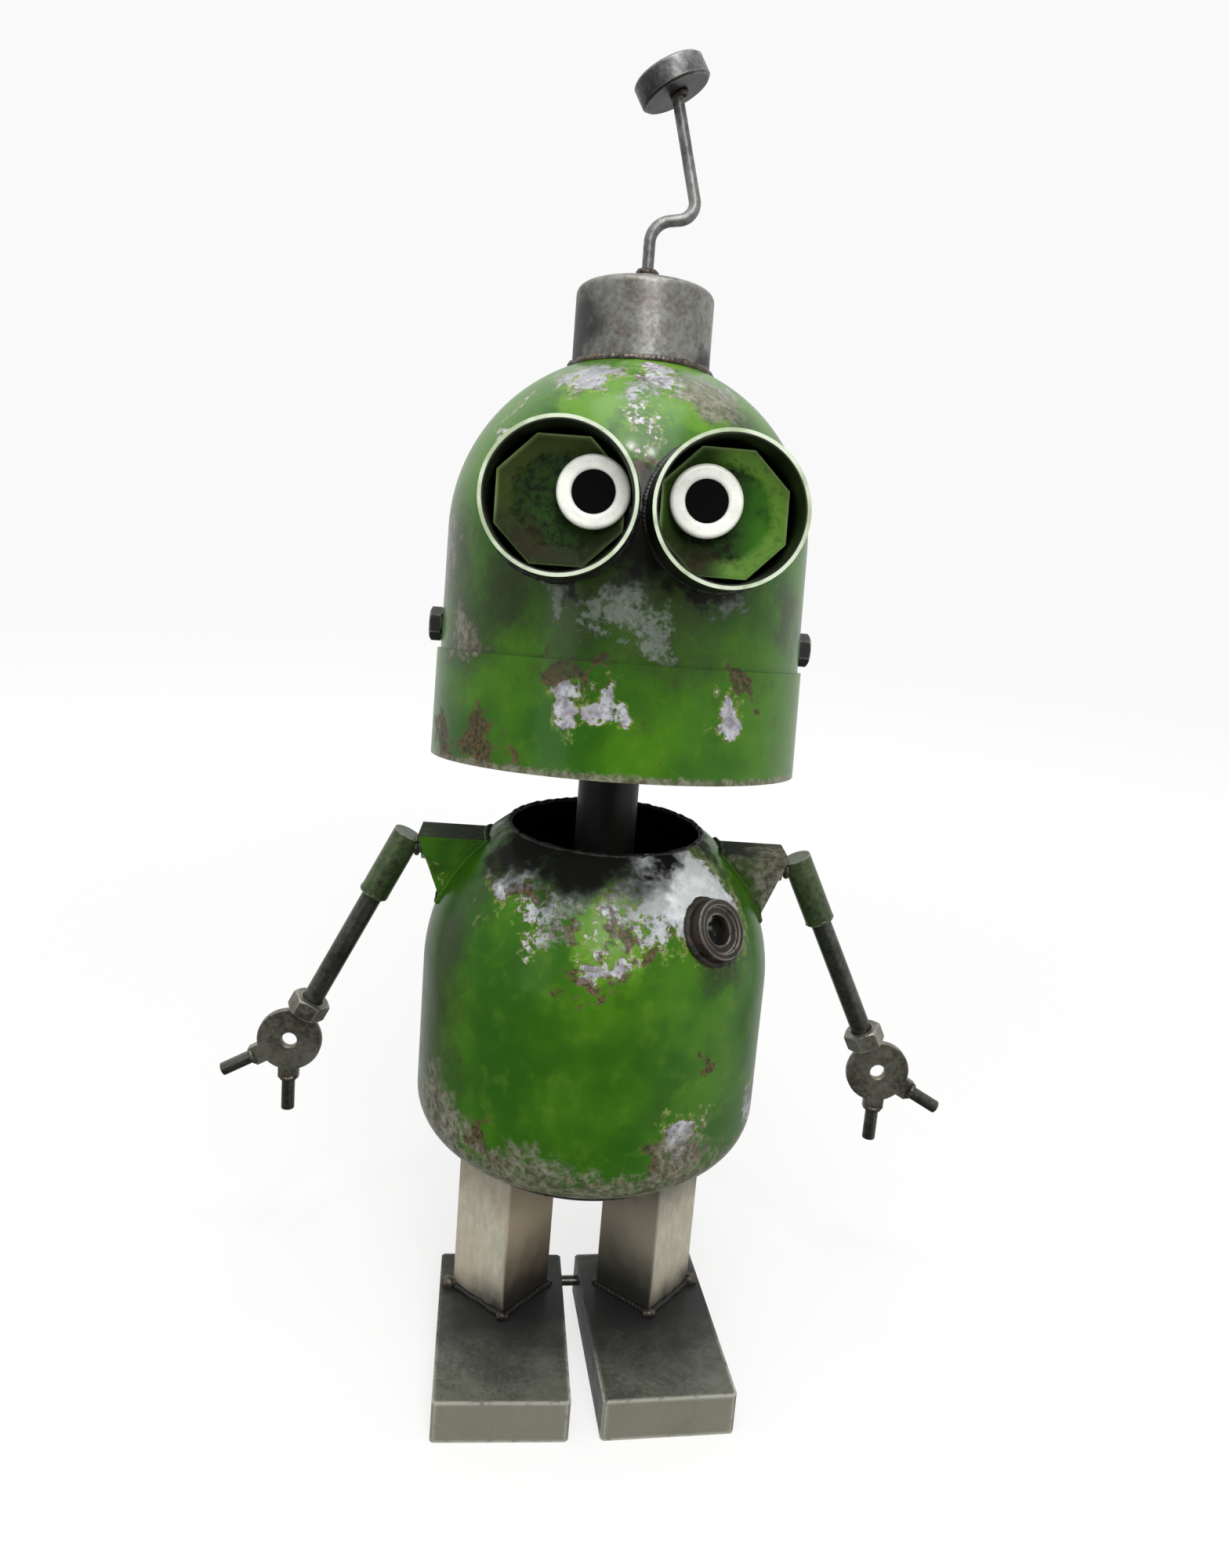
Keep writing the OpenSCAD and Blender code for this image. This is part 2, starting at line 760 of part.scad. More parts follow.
module eye_tube(side) {
    tube_l = 36;
    color(steel) difference() {
        on_eye(side) difference() {
            rod_y(0, 0, 0, tube_l, eye_r);
            rod_y(0, 0, -1, tube_l + 1, eye_r - eye_wall);
        }
        on_head() dome_form(dome_r + weld_gap);
    }
}

module eye_dish(side) {
    front_y = dish_back_y - dish_depth + eye_reach;
    slope = (dish_r - dish_floor_r) / dish_depth;
    color(green) on_eye(side) translate([0, front_y, 0]) rotate([-90, 22.5, 0]) difference() {
        cylinder(r1 = dish_r, r2 = dish_floor_r, h = dish_depth, $fn = 8);
        translate([0, 0, -0.4]) cylinder(r1 = dish_r - 0.9 + 0.4 * slope, $fn = 8,
            r2 = dish_floor_r - 0.9 + 1.3 * slope * 0.7, h = dish_depth - dish_sheet + 0.4);
    }
}

module eye_ring(side, gaze) {
    e = 1;
    t = eye_ring_t;
    color("white") on_eye(side) translate([gaze[0], eye_ring_y + eye_reach, gaze[1]])
        rotate([90, 0, 0]) rotate_extrude() union() {
            translate([eye_ring_hole_r, e]) square([eye_ring_r - eye_ring_hole_r, t - 2 * e]);
            translate([eye_ring_hole_r + e, 0]) square([eye_ring_r - eye_ring_hole_r - 2 * e, t]);
            for (x = [eye_ring_hole_r + e, eye_ring_r - e], y = [e, t - e])
                translate([x, y]) circle(r = e);
        }
}

module eye_pupil(side, gaze) {
    floor_y = dish_back_y - dish_sheet + eye_reach;
    back_y = eye_ring_y + eye_reach;
    front_y = back_y - eye_ring_t + 0.5;
    stem_r = 1.2;
    color("black") on_eye(side) translate([gaze[0], 0, gaze[1]]) {
        rod_y(0, 0, front_y, back_y, eye_ring_hole_r - weld_gap);
        rod_y(0, 0, front_y, floor_y, stem_r);
    }
}

// ---- Nod pivot ----

module head_bolts() {
    color(dark_steel) on_head() for (s = [-1, 1]) on_side(s) {
        translate([dome_r, 0, nod_h]) rotate([0, 90, 0]) cylinder(r = m5_across / 2, h = 3.4, $fn = 6);
        rod_x(34, dome_r, nod_h, m5_r);
    }
}

module head_nuts() {
    lock_x = yoke_x + 0.2;
    pivot_x = yoke_x - yoke_arm_t - 0.1 - m5_nut_h;
    color(steel) on_head() for (s = [-1, 1], x = [lock_x, pivot_x]) on_side(s) difference() {
        translate([x, 0, nod_h]) rotate([0, 90, 0]) cylinder(r = m5_across / 2, h = m5_nut_h, $fn = 6);
        rod_x(x - 1, x + 5, nod_h, m5_r);
    }
}

// ---- Arms ----

// An arm's own frame: the shoulder pin crosses the origin and the arm hangs along -Z
module on_arm(side) {
    on_side(side) translate([arm_x, 0, shoulder_z]) rotate([0, -arm_lean, 0]) children();
}

module down_rod(from, to, r) {
    translate([0, 0, -to]) cylinder(r = r, h = to - from);
}

module shoulder_pin(side) {
    color(steel) on_side(side) {
        rod_x(pin_head[0], pin_head[1], shoulder_z, pin_r + 1.3);
        rod_x(pin_head[1], arm_x, shoulder_z, pin_r);
    }
}

module arm_sleeve(side) {
    color(dark_steel) difference() {
        on_arm(side) difference() {
            down_rod(-sleeve_top, sleeve_l, sleeve_r);
            down_rod(rod_start, sleeve_l + 1, rod_r);
        }
        on_side(side) rod_x(0, arm_x, shoulder_z, pin_r);
    }
}

module arm_rod(side) {
    color(dark_steel) on_arm(side) down_rod(rod_start, wrist_start + wrist_h - 0.6, rod_r);
}

module wrist_nut(side) {
    color(steel) on_arm(side) difference() {
        translate([0, 0, -wrist_start - wrist_h]) cylinder(r = wrist_r, h = wrist_h, $fn = 6);
        down_rod(wrist_start - 1, wrist_start + wrist_h - 0.5, rod_r + run_gap);
    }
}

// A hand's own frame: the disc's centre is the origin and the arm's axis is -Z
module on_hand(side) {
    on_arm(side) translate([0, 0, -arm_l]) children();
}

module hand_disc(side) {
    tang_r = arm_l - wrist_start - wrist_h;
    color(steel) on_hand(side) slab_y(-hand_t / 2, hand_t) difference() {
        union() {
            circle(r = hand_r);
            translate([-lug_w / 2, 0]) square([lug_w, tang_r]);
            for (a = finger_angles) rotate(a) translate([-lug_w / 2, -lug_reach]) square([lug_w, lug_reach]);
        }
        circle(r = hand_hole_r);
    }
}

module hand_fingers(side) {
    color(dark_steel) on_hand(side) for (a = finger_angles) rotate([0, -a, 0])
        down_rod(lug_reach, finger_reach, finger_r);
}

torso_shell();
chest_boss();
shoulder_bracket(-1);  // shoulder_bracket_left
shoulder_bracket(1);  // shoulder_bracket_right
torso_base_plate();
base_screws();
leg(-1);  // leg_left
leg(1);  // leg_right
foot(-1);  // foot_left
foot(1);  // foot_right
ankle_tie_rod();
motor_front_plate();
motor_rear_plate();
motor_pillars();
pillar_nuts();
neck_bridge();
bridge_screws();
neck_bush();
key_bush();
clutch_spring();
neck_tube();
neck_spindle();
contrate_wheel();
neck_yoke();
head_dome();
head_band();
top_cap();
antenna_nut();
antenna_wire();
antenna_disc();
eye_tube(-1);  // eye_tube_left
eye_tube(1);  // eye_tube_right
eye_dish(-1);  // eye_dish_left
eye_dish(1);  // eye_dish_right
eye_ring(-1, gaze_left);  // eye_ring_left
eye_ring(1, gaze_right);  // eye_ring_right
eye_pupil(-1, gaze_left);  // eye_pupil_left
eye_pupil(1, gaze_right);  // eye_pupil_right
head_bolts();
head_nuts();
shoulder_pin(-1);  // shoulder_pin_left
shoulder_pin(1);  // shoulder_pin_right
arm_sleeve(-1);  // arm_sleeve_left
arm_sleeve(1);  // arm_sleeve_right
arm_rod(-1);  // arm_rod_left
arm_rod(1);  // arm_rod_right
wrist_nut(-1);  // wrist_nut_left
wrist_nut(1);  // wrist_nut_right
hand_disc(-1);  // hand_disc_left
hand_disc(1);  // hand_disc_right
hand_fingers(-1);  // hand_fingers_left
hand_fingers(1);  // hand_fingers_right
winding_key();
winding_arbor();
mainspring();
spring_barrel();
second_arbor();
governor_fly();
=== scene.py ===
"""Looks of the clockwork sheet-metal robot: camera, light, procedural finishes, weld beads and fine detail.

Everything is in metres in the CAD frame: +Z up, the robot faces -Y, and its left side as seen is -X.
Sizes below are written in millimetres and multiplied by MM.
"""
import math

import bmesh
import bpy
from mathutils import Matrix, Vector, noise


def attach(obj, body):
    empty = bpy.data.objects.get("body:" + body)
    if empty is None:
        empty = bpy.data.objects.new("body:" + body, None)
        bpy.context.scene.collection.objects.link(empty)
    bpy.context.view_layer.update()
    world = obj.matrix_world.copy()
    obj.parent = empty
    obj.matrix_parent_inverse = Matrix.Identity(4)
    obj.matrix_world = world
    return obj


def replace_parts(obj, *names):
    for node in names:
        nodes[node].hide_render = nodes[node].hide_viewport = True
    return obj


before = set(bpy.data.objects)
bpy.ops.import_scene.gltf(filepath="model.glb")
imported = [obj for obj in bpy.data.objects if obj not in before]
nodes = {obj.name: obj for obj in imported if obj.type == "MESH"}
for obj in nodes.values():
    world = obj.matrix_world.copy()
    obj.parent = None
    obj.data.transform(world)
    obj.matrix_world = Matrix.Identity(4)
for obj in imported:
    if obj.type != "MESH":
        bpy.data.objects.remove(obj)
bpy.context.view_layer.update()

MM = 0.001

UP = (0, 0, 1)
SIDES = ((-1, "left"), (1, "right"))

# How bright the backdrop is seen, as linear light
BACKDROP = 0.95

# Every material made here, by name
FINISHES = {}

# The head's own frame: its axis leans back about the nod pivot, and heights count from the band's lower edge
HEAD_LEAN = math.radians(7.8)
NOD_Z = 208.4
NOD_HEIGHT = 34.3
DOME_R = 48.6
DOME_SIDE = 60.5
CAP_R = 18.6
CAP_TOP = 127.4
EYE_R = 18.0
EYE_X = 19.5
EYE_H = 64.5
EYE_REACH = 61.7
EYE_SPLAY = math.radians(2.5)

# The antenna: each step of its wire is a straight run, a turn in degrees and the turn's radius
ANTENNA_STEPS = ((16, 80, 6.2), (2.5, -94, 4.6), (30.4, 0, 1))
ANTENNA_FOOT = CAP_TOP - 3
ANTENNA_R = 1.6
DISC_X = 2.9
DISC_HEIGHT = 182.6
DISC_TILT = math.radians(29.0)

# The torso, legs and arms
TORSO_R = 49.0
CROWN_Z = 114.0
BASE_Z = 60.8
MOUTH_R = 27.0
BOSS_R = 8.0
BOSS_TURN = math.radians(40.7)
BOSS_RISE = math.radians(28.4)
STANCE = math.radians(5.0)
LEG_X = 21.4
LEG_Y = -5.5
LEG_SIDE = 20.0
FOOT_T = 12.0
ARM_LEAN = math.radians(26.0)
ARM_X = 57.0
SHOULDER_Z = 145.0
ARM_L = 67.9
ROD_R = 2.95
WRIST_END = 58.5
WRIST_H = 5.1
WRIST_R = 5.7
FINGER_TURN = math.radians(34.5)

# Fasteners: corner is the radius at a hexagon's corners
M5_CORNER = 4.6
M5_HEAD_H = 3.4
M5_NUT_H = 3.8
M5_R = 2.5
M5_PITCH = 0.8
BOLT_END_X = 34
M3_R = 1.5
M3_LENGTH = 5.5
M3_PITCH = 0.5
LIP_SCREW_R = 33.4
FLANGE_SCREW_X = 10
FLANGE_SCREW_Y = 21.5

HEAD_TO_ROW = (Matrix.Translation((0, 0, NOD_Z)) @ Matrix.Rotation(-HEAD_LEAN, 4, "X")
               @ Matrix.Translation((0, 0, -NOD_HEIGHT)))


def mm(point):
    """A point in millimetres as a vector in metres."""
    return Vector(point) * MM


# ---- Stage ----


def make_camera():
    """A close camera a little above the head, turned and rolled as the figure is seen."""
    turn, pitch, roll = math.radians(-3.13), math.radians(11.39), math.radians(4.61)
    level = Vector((-math.sin(turn), math.cos(turn), 0))
    ahead = level * math.cos(pitch) - Vector((0, 0, math.sin(pitch)))
    side = level.cross(Vector(UP))
    over = Vector((0, 0, math.cos(pitch))) + level * math.sin(pitch)
    right = side * math.cos(roll) + over * math.sin(roll)
    up = over * math.cos(roll) - side * math.sin(roll)
    camera = bpy.data.objects.new("camera", bpy.data.cameras.new("camera"))
    place = Matrix.Translation(mm((-18.1, -330.6, 253.6)))
    camera.matrix_world = place @ Matrix((right, up, -ahead)).transposed().to_4x4()
    camera.data.lens = 27.9
    camera.data.sensor_width = 36
    camera.data.shift_y = -0.045
    camera.data.clip_start = 0.01
    bpy.context.scene.collection.objects.link(camera)
    bpy.context.scene.camera = camera


def make_lamp(name, place, size, power, aim=(0, 0, 200)):
    """A soft rectangular light at a point in millimetres, facing the aim."""
    lamp = bpy.data.lights.new(name, "AREA")
    lamp.shape = "RECTANGLE"
    lamp.size, lamp.size_y = size[0] * MM, size[1] * MM
    lamp.energy = power
    holder = bpy.data.objects.new(name, lamp)
    holder.location = mm(place)
    holder.rotation_euler = (mm(aim) - mm(place)).to_track_quat("-Z", "Y").to_euler()
    bpy.context.scene.collection.objects.link(holder)


def make_world():
    """Soft light, a pale backdrop, and reflections that are dark in front and bright above and behind."""
    world = bpy.data.worlds.new("studio")
    bpy.context.scene.world = world
    world.use_nodes = True
    s = Nodes(world.node_tree)
    ray = s.node("TexCoord").outputs["Generated"]
    path = s.node("LightPath").outputs

    def background(strength):
        return s.node("Background", {"Color": (1, 1, 1), "Strength": strength}).outputs[0]

    def sky(*lights):
        """A background lit from several directions at once, each (direction, low, high, strength)."""
        parts = []
        for direction, low, high, strength in lights:
            turned = s.vector("DOT_PRODUCT", ray, Vector(direction).normalized())
            parts.append((s.ramp(turned, low, high), strength))
        return background(s.total(*parts))

    soft = sky(((0, 0, 1), -0.2, 0.9, 0.45), ((0, 0, -1), -2, 1, 0.5))
    mirrored = sky(((0, 0, 1), 0.30, 0.95, 0.55), ((0, 1, 0.2), 0.0, 0.9, 0.85),
                   ((1, -0.2, 0), 0.45, 0.95, 0.70), ((-1, -0.1, 0), 0.60, 0.98, 0.22),
                   ((-0.8, 0.1, 0.6), 0.50, 0.95, 0.45), ((0, -1, 0), -3, 1, 0.05))
    lit = s.node("MixShader", {0: path["Is Glossy Ray"], 1: soft, 2: mirrored}).outputs[0]
    seen = s.node("MixShader", {0: path["Is Camera Ray"], 1: lit, 2: background(BACKDROP)}).outputs[0]
    s.node("OutputWorld", {"Surface": seen})


def make_floor():
    """A pale floor that melts into the backdrop at a distance. It gives no mirror images of itself."""
    reach = 3.0
    mesh = bpy.data.meshes.new("floor")
    mesh.from_pydata([(-reach, -reach, 0), (reach, -reach, 0), (reach, reach, 0), (-reach, reach, 0)],
                     [], [(0, 1, 2, 3)])
    floor = bpy.data.objects.new("floor", mesh)
    bpy.context.scene.collection.objects.link(floor)
    floor.visible_glossy = False
    pale = Shade("pale_floor")
    tone = pale.mix(pale.noise(0.004, detail=2), (0.22, 0.22, 0.22), (0.23, 0.23, 0.23))
    distance = pale.vector("LENGTH", pale.position)
    glow = pale.mix(pale.ramp(distance, 150, 800), (0.72, 0.72, 0.715), (0.81, 0.81, 0.81))
    pale.finish(tone, rough=0.8, specular=0.1, glow=glow)
    solid = pale.tree.nodes["Principled BSDF"].outputs[0]
    clear = pale.node("BsdfTransparent").outputs[0]
    away = pale.ramp(distance, 700, 1900)
    blend = pale.node("MixShader", {0: away, 1: solid, 2: clear}).outputs[0]
    pale.put(pale.tree.nodes["Material Output"].inputs["Surface"], blend)
    mesh.materials.append(pale.material)


def make_stage():
    make_floor()
    make_world()
    make_lamp("key", (110, -800, 760), (420, 420), 4.6)
    make_lamp("fill", (-520, -640, 300), (300, 500), 0.6)
    make_lamp("overhead", (0, -120, 900), (500, 500), 3.2)
    make_lamp("lamp_high_left", (-40, -300, 760), (40, 40), 0.5, aim=(0, 0, 260))
    make_lamp("lamp_high_right", (70, -330, 740), (36, 36), 0.5, aim=(0, 0, 260))
    bpy.context.scene.view_settings.view_transform = "Standard"


# ---- Building materials from nodes ----


class Nodes:
    """Nodes under construction in a tree that starts empty."""

    def __init__(self, tree):
        self.tree = tree
        tree.nodes.clear()

    def put(self, socket, value):
        """Links a socket, or sets its plain value."""
        if isinstance(value, bpy.types.NodeSocket):
            self.tree.links.new(value, socket)
        elif hasattr(value, "__len__") and len(socket.default_value) == 4 and len(value) == 3:
            socket.default_value = (*value, 1)
        else:
            socket.default_value = value

    def node(self, kind, values=(), **settings):
        """A node of a kind, with its settings, and with values or links at its inputs."""
        made = self.tree.nodes.new("ShaderNode" + kind)
        for key, value in settings.items():
            setattr(made, key, value)
        for key, value in dict(values).items():
            self.put(made.inputs[key], value)
        return made

    def math(self, operation, a, b=0.0, clamp=False):
        return self.node("Math", {0: a, 1: b}, operation=operation, use_clamp=clamp).outputs[0]

    def vector(self, operation, a, b=(0, 0, 0)):
        made = self.node("VectorMath", {0: a, 1: b}, operation=operation)
        return made.outputs["Value"] if operation in ("LENGTH", "DOT_PRODUCT") else made.outputs[0]

    def ramp(self, value, low, high, smooth=True):
        """0 below low, 1 above high. Low may be the greater, which turns it round."""
        ends = {1: low, 2: high} if low < high else {1: high, 2: low, 3: 1.0, 4: 0.0}
        kind = "SMOOTHSTEP" if smooth else "LINEAR"
        return self.node("MapRange", {0: value, **ends}, interpolation_type=kind).outputs[0]

    def mix(self, share, a, b):
        return self.node("Mix", {0: share, 6: a, 7: b}, data_type="RGBA").outputs[2]

    def tones(self, field, low, high, a, b):
        """One colour where a field is low, and another where it is high."""
        return self.mix(self.ramp(field, low, high), a, b)

    def layers(self, surface, *over):
        """A surface with colours laid over it in turn, each (mask, share, colour)."""
        for mask, share, shade in over:
            surface = self.mix(self.both(mask, share), surface, shade)
        return surface

    def total(self, *parts, base=0.0):
        """A base plus several fields, each (field, share)."""
        for field, share in parts:
            base = self.math("ADD", base, self.both(field, share))
        return base

    def about(self, field, swing, middle=0.5):
        """A field turned into a swing about nothing."""
        return self.both(self.math("SUBTRACT", field, middle), swing)

    def both(self, a, b):
        return self.math("MULTIPLY", a, b)

    def either(self, a, b):
        return self.math("MAXIMUM", a, b)


class Shade(Nodes):
    """A material under construction. Positions are in millimetres of the row frame, or of the head's own."""

    def __init__(self, name, head=False):
        self.material = bpy.data.materials.new(name)
        FINISHES[name] = self.material
        self.material.use_nodes = True
        super().__init__(self.material.node_tree)
        coord = self.node("TexCoord").outputs
        self.row_position = coord["Object"]
        self.normal = coord["Normal"]
        place = {"Vector": self.row_position, "Scale": (1 / MM, 1 / MM, 1 / MM)}
        if head:
            back = HEAD_TO_ROW.inverted()
            place |= {"Rotation": back.to_euler(), "Location": back.to_translation()}
        self.position = self.node("Mapping", place).outputs[0]
        self.pushed = None

    def axis(self, name, source=None):
        """One coordinate of the position, or of another vector."""
        return self.node("SeparateXYZ", {0: source or self.position}).outputs[name]

    def noise(self, scale, detail=4.0, rough=0.55, shift=(0, 0, 0), stretch=None):
        """Fractal noise whose scale counts features per millimetre."""
        where = self.vector("ADD", self.position, shift)
        if stretch:
            where = self.vector("MULTIPLY", where, stretch)
        values = {"Vector": where, "Scale": scale, "Detail": detail, "Roughness": rough}
        return self.node("TexNoise", values).outputs[0]

    def spot(self, x, y, z, reach, stretch=(1, 1, 1)):
        """1 at a place, falling to 0 at its reach. Stretch over 1 makes it shorter that way."""
        away = self.vector("MULTIPLY", self.vector("SUBTRACT", self.wander(), (x, y, z)), stretch)
        return self.math("SUBTRACT", 1.0, self.math("DIVIDE", self.vector("LENGTH", away), reach), clamp=True)

    def wander(self):
        """The position pushed about by noise, so spots come out ragged instead of round."""
        if not self.pushed:
            self.pushed = self.position
            for scale, reach in ((0.09, 26), (0.42, 8)):
                cloud = self.node("TexNoise", {"Vector": self.position, "Scale": scale, "Detail": 3})
                push = self.vector("SUBTRACT", cloud.outputs["Color"], (0.5, 0.5, 0.5))
                self.pushed = self.vector("ADD", self.pushed, self.vector("MULTIPLY", push, (reach,) * 3))
        return self.pushed

    def spots(self, places):
        """The greatest of several spots, each (x, y, z, reach) or (x, y, z, reach, stretch)."""
        near = 0.0
        for place in places:
            near = self.either(near, self.spot(*place))
        return near

    def facing(self, direction):
        """1 on surfaces that face a direction."""
        return self.ramp(self.vector("DOT_PRODUCT", self.normal, direction), 0.55, 0.85)

    def inside(self, centre):
        """1 on a shell's inner side: where it faces the upright line below a centre, or the centre itself."""
        away = self.vector("SUBTRACT", self.row_position, mm(centre))
        away = self.vector("NORMALIZE", self.vector("MAXIMUM", away, (-1, -1, 0)))
        return self.ramp(self.vector("DOT_PRODUCT", away, self.normal), -0.05, -0.25)

    def from_eyes(self):
        """How far each place is from the nearer eye's axis, in the head's frame."""
        gaps = []
        for side, _ in SIDES:
            away = self.vector("SUBTRACT", self.position, (side * EYE_X, 0, EYE_H))
            gaps.append(self.vector("LENGTH", self.vector("MULTIPLY", away, (1, 0, 1))))
        return self.math("MINIMUM", *gaps)

    def edges(self, reach):
        """1 on the object's sharp edges, within a reach in millimetres."""
        made = self.node("Bevel", {"Radius": reach * MM}, samples=4)
        flat = self.node("NewGeometry").outputs["Normal"]
        return self.ramp(self.vector("DOT_PRODUCT", made.outputs[0], flat), 0.985, 0.86)

    def finish(self, color, rough=0.5, metal=0.0, height=None, depth=0.1, coat=0.0, coat_rough=0.1,
               specular=0.5, glow=None):
        """Ends the material. Depth is the bump's height in millimetres."""
        values = {"Base Color": color, "Roughness": rough, "Metallic": metal, "Coat Weight": coat,
                  "Coat Roughness": coat_rough, "Specular IOR Level": specular}
        if glow:
            values |= {"Emission Color": glow, "Emission Strength": 1.0}
        if height is not None:
            bump = self.node("Bump", {"Height": height, "Distance": depth * MM, "Strength": 1.0})
            values["Normal"] = bump.outputs[0]
        made = self.node("BsdfPrincipled", values)
        self.node("OutputMaterial", {"Surface": made.outputs[0]})


def rgb(red, green, blue):
    """A colour given as it looks on a screen, 0 to 255, as the linear light a shader takes."""
    def linear(c):
        c = c / 255
        return c / 12.92 if c <= 0.04045 else ((c + 0.055) / 1.055) ** 2.4
    return linear(red), linear(green), linear(blue)


# ---- Finishes ----


def worn_paint(name, bare, rust, dull, dark, soot, head=False, flecks=(), pale=(), painted_sheen=(), bright=(),
               rim=None, hollow=None, smoky_tops=False, coat=0.08):
    """Green enamel over steel: bare steel with brown borders, rust, soot and dulled places, under varnish.

    bare to bright are lists of spots: dark is smoke that only browns the paint, flecks are broken bare
    places, pale is cleaner steel that also carries a painted reflection, haze is a painted reflection,
    a thin blue-grey sheen on the varnish, and bright is fresher paint.
    rim is (low, high): the heights between which wear fades out above a lower edge.
    hollow is the centre of a shell whose inside is painted near black as shade."""
    s = Shade(name, head)
    broad = s.noise(0.035, detail=3)
    middle = s.noise(0.16, detail=5, rough=0.6, shift=(31, 7, 5))
    fine = s.noise(0.9, rough=0.65, shift=(3, 17, 9))
    grit = s.noise(3.2, detail=2, rough=0.6)
    speck = s.noise(0.45, rough=0.7, shift=(13, 23, 3))
    rough_field = s.total((middle, 0.4), (speck, 0.3), (fine, 0.3))
    small_field = s.total((speck, 0.6), (fine, 0.4))

    def worn(places, swing, field=rough_field):
        """How close each place is to one of several spots, broken up by noise."""
        near = s.spots(places)
        return s.both(s.math("ADD", near, s.about(field, swing)), s.ramp(near, 0.0, 0.2))

    # The paint itself: deep green with yellower and duller drifts
    green = s.layers(
        s.tones(broad, 0.34, 0.64, rgb(33, 79, 2), rgb(57, 103, 5)),
        (s.ramp(middle, 0.50, 0.72), 0.22, rgb(98, 128, 26)),
        (s.ramp(middle, 0.46, 0.30), 0.45, rgb(44, 70, 14)),
        (s.ramp(grit, 0.58, 0.72), 0.2, rgb(22, 46, 8)),
        (s.ramp(worn(bright, 1.2), 0.05, 0.6), 0.9, rgb(80, 124, 20)))
    clean_steel_and_reflection = s.tones(middle, 0.35, 0.6, rgb(234, 238, 237), rgb(204, 208, 208))
    steel = s.layers(
        s.tones(speck, 0.36, 0.62, rgb(116, 114, 122), rgb(176, 178, 182)),
        (s.ramp(middle, 0.50, 0.66), 0.5, rgb(138, 130, 138)),
        (s.ramp(fine, 0.54, 0.66), 0.6, rgb(104, 100, 80)),
        # Cleaner bare steel, with a painted reflection in its near-white colour
        (s.ramp(worn(pale, 0.8), 0.1, 0.6), 1, clean_steel_and_reflection))
    brown = s.tones(fine, 0.38, 0.62, rgb(36, 25, 19), rgb(88, 64, 45))
    smoke = s.layers(
        s.tones(speck, 0.34, 0.66, rgb(66, 64, 50), rgb(122, 122, 106)),
        (s.ramp(fine, 0.52, 0.64), 0.6, brown))

    # Where each kind of wear lies
    bare_field = s.either(worn(bare, 1.5), s.math("SUBTRACT", worn(flecks, 3.4, small_field), 0.26))
    bare_mask = s.ramp(bare_field, 0.36, 0.46)
    border = s.both(s.ramp(bare_field, 0.24, 0.36), s.ramp(fine, 0.42, 0.54))
    thin = s.both(s.ramp(bare_field, 0.12, 0.34), s.ramp(speck, 0.42, 0.58))
    rust_mask = s.ramp(worn(rust, 2.2), 0.34, 0.52)
    dark_mask = s.ramp(worn(dark, 1.4), 0.05, 0.75)
    painted_sheen_mask = s.ramp(worn(painted_sheen, 2.6, small_field), 0.22, 0.70)
    soot_mask = s.ramp(worn(soot, 0.5), 0.02, 0.66)
    tops = s.ramp(s.axis("Z", s.normal), 0.6, 0.8) if smoky_tops else 0.0
    inside = s.inside(hollow) if hollow else 0.0
    dull_field = worn(dull, 1.3)
    if rim:
        low, high = rim
        edge = s.math("ADD", s.ramp(s.axis("Z"), high, low, smooth=False), s.about(rough_field, 2.4, 0.56))
        dull_field = s.either(dull_field, edge)

    surface = s.layers(
        green,
        (thin, 0.6, rgb(148, 166, 86)),
        (border, 0.75, brown),
        (bare_mask, 1, steel),
        (rust_mask, 0.85, brown),
        (tops, 1, s.tones(speck, 0.4, 0.7, rgb(28, 32, 22), rgb(58, 64, 48))),
        (dark_mask, 0.8, s.mix(speck, rgb(14, 26, 6), rgb(48, 58, 28))),
        # Painted reflection: a blue-grey sheen laid into the varnish colour
        (painted_sheen_mask, 0.55, s.mix(fine, rgb(62, 80, 54), rgb(146, 148, 152))),
        (s.ramp(dull_field, 0.15, 0.60), 0.85, smoke),
        (soot_mask, 1, s.mix(fine, rgb(2, 2, 2), rgb(17, 18, 11))),
        # Painted shade: the inside of the shell, painted near black
        (inside, 1, rgb(9, 9, 8)))
    black = s.either(soot_mask, inside)
    dry = s.either(rust_mask, s.both(bare_mask, 0.6))
    rough = s.total((middle, 0.16), (dry, 0.28), (s.either(black, tops), 0.5), base=0.26)
    metal = s.both(s.math("SUBTRACT", bare_mask, s.either(rust_mask, black), clamp=True), 0.15)
    film = s.math("SUBTRACT", 1.0, s.either(bare_mask, rust_mask))
    height = s.total((broad, 1.2), (middle, 0.45), (film, 0.4), (grit, 0.12))
    s.finish(surface, rough, metal, height, depth=0.14, coat=coat, coat_rough=0.14, specular=0.2)


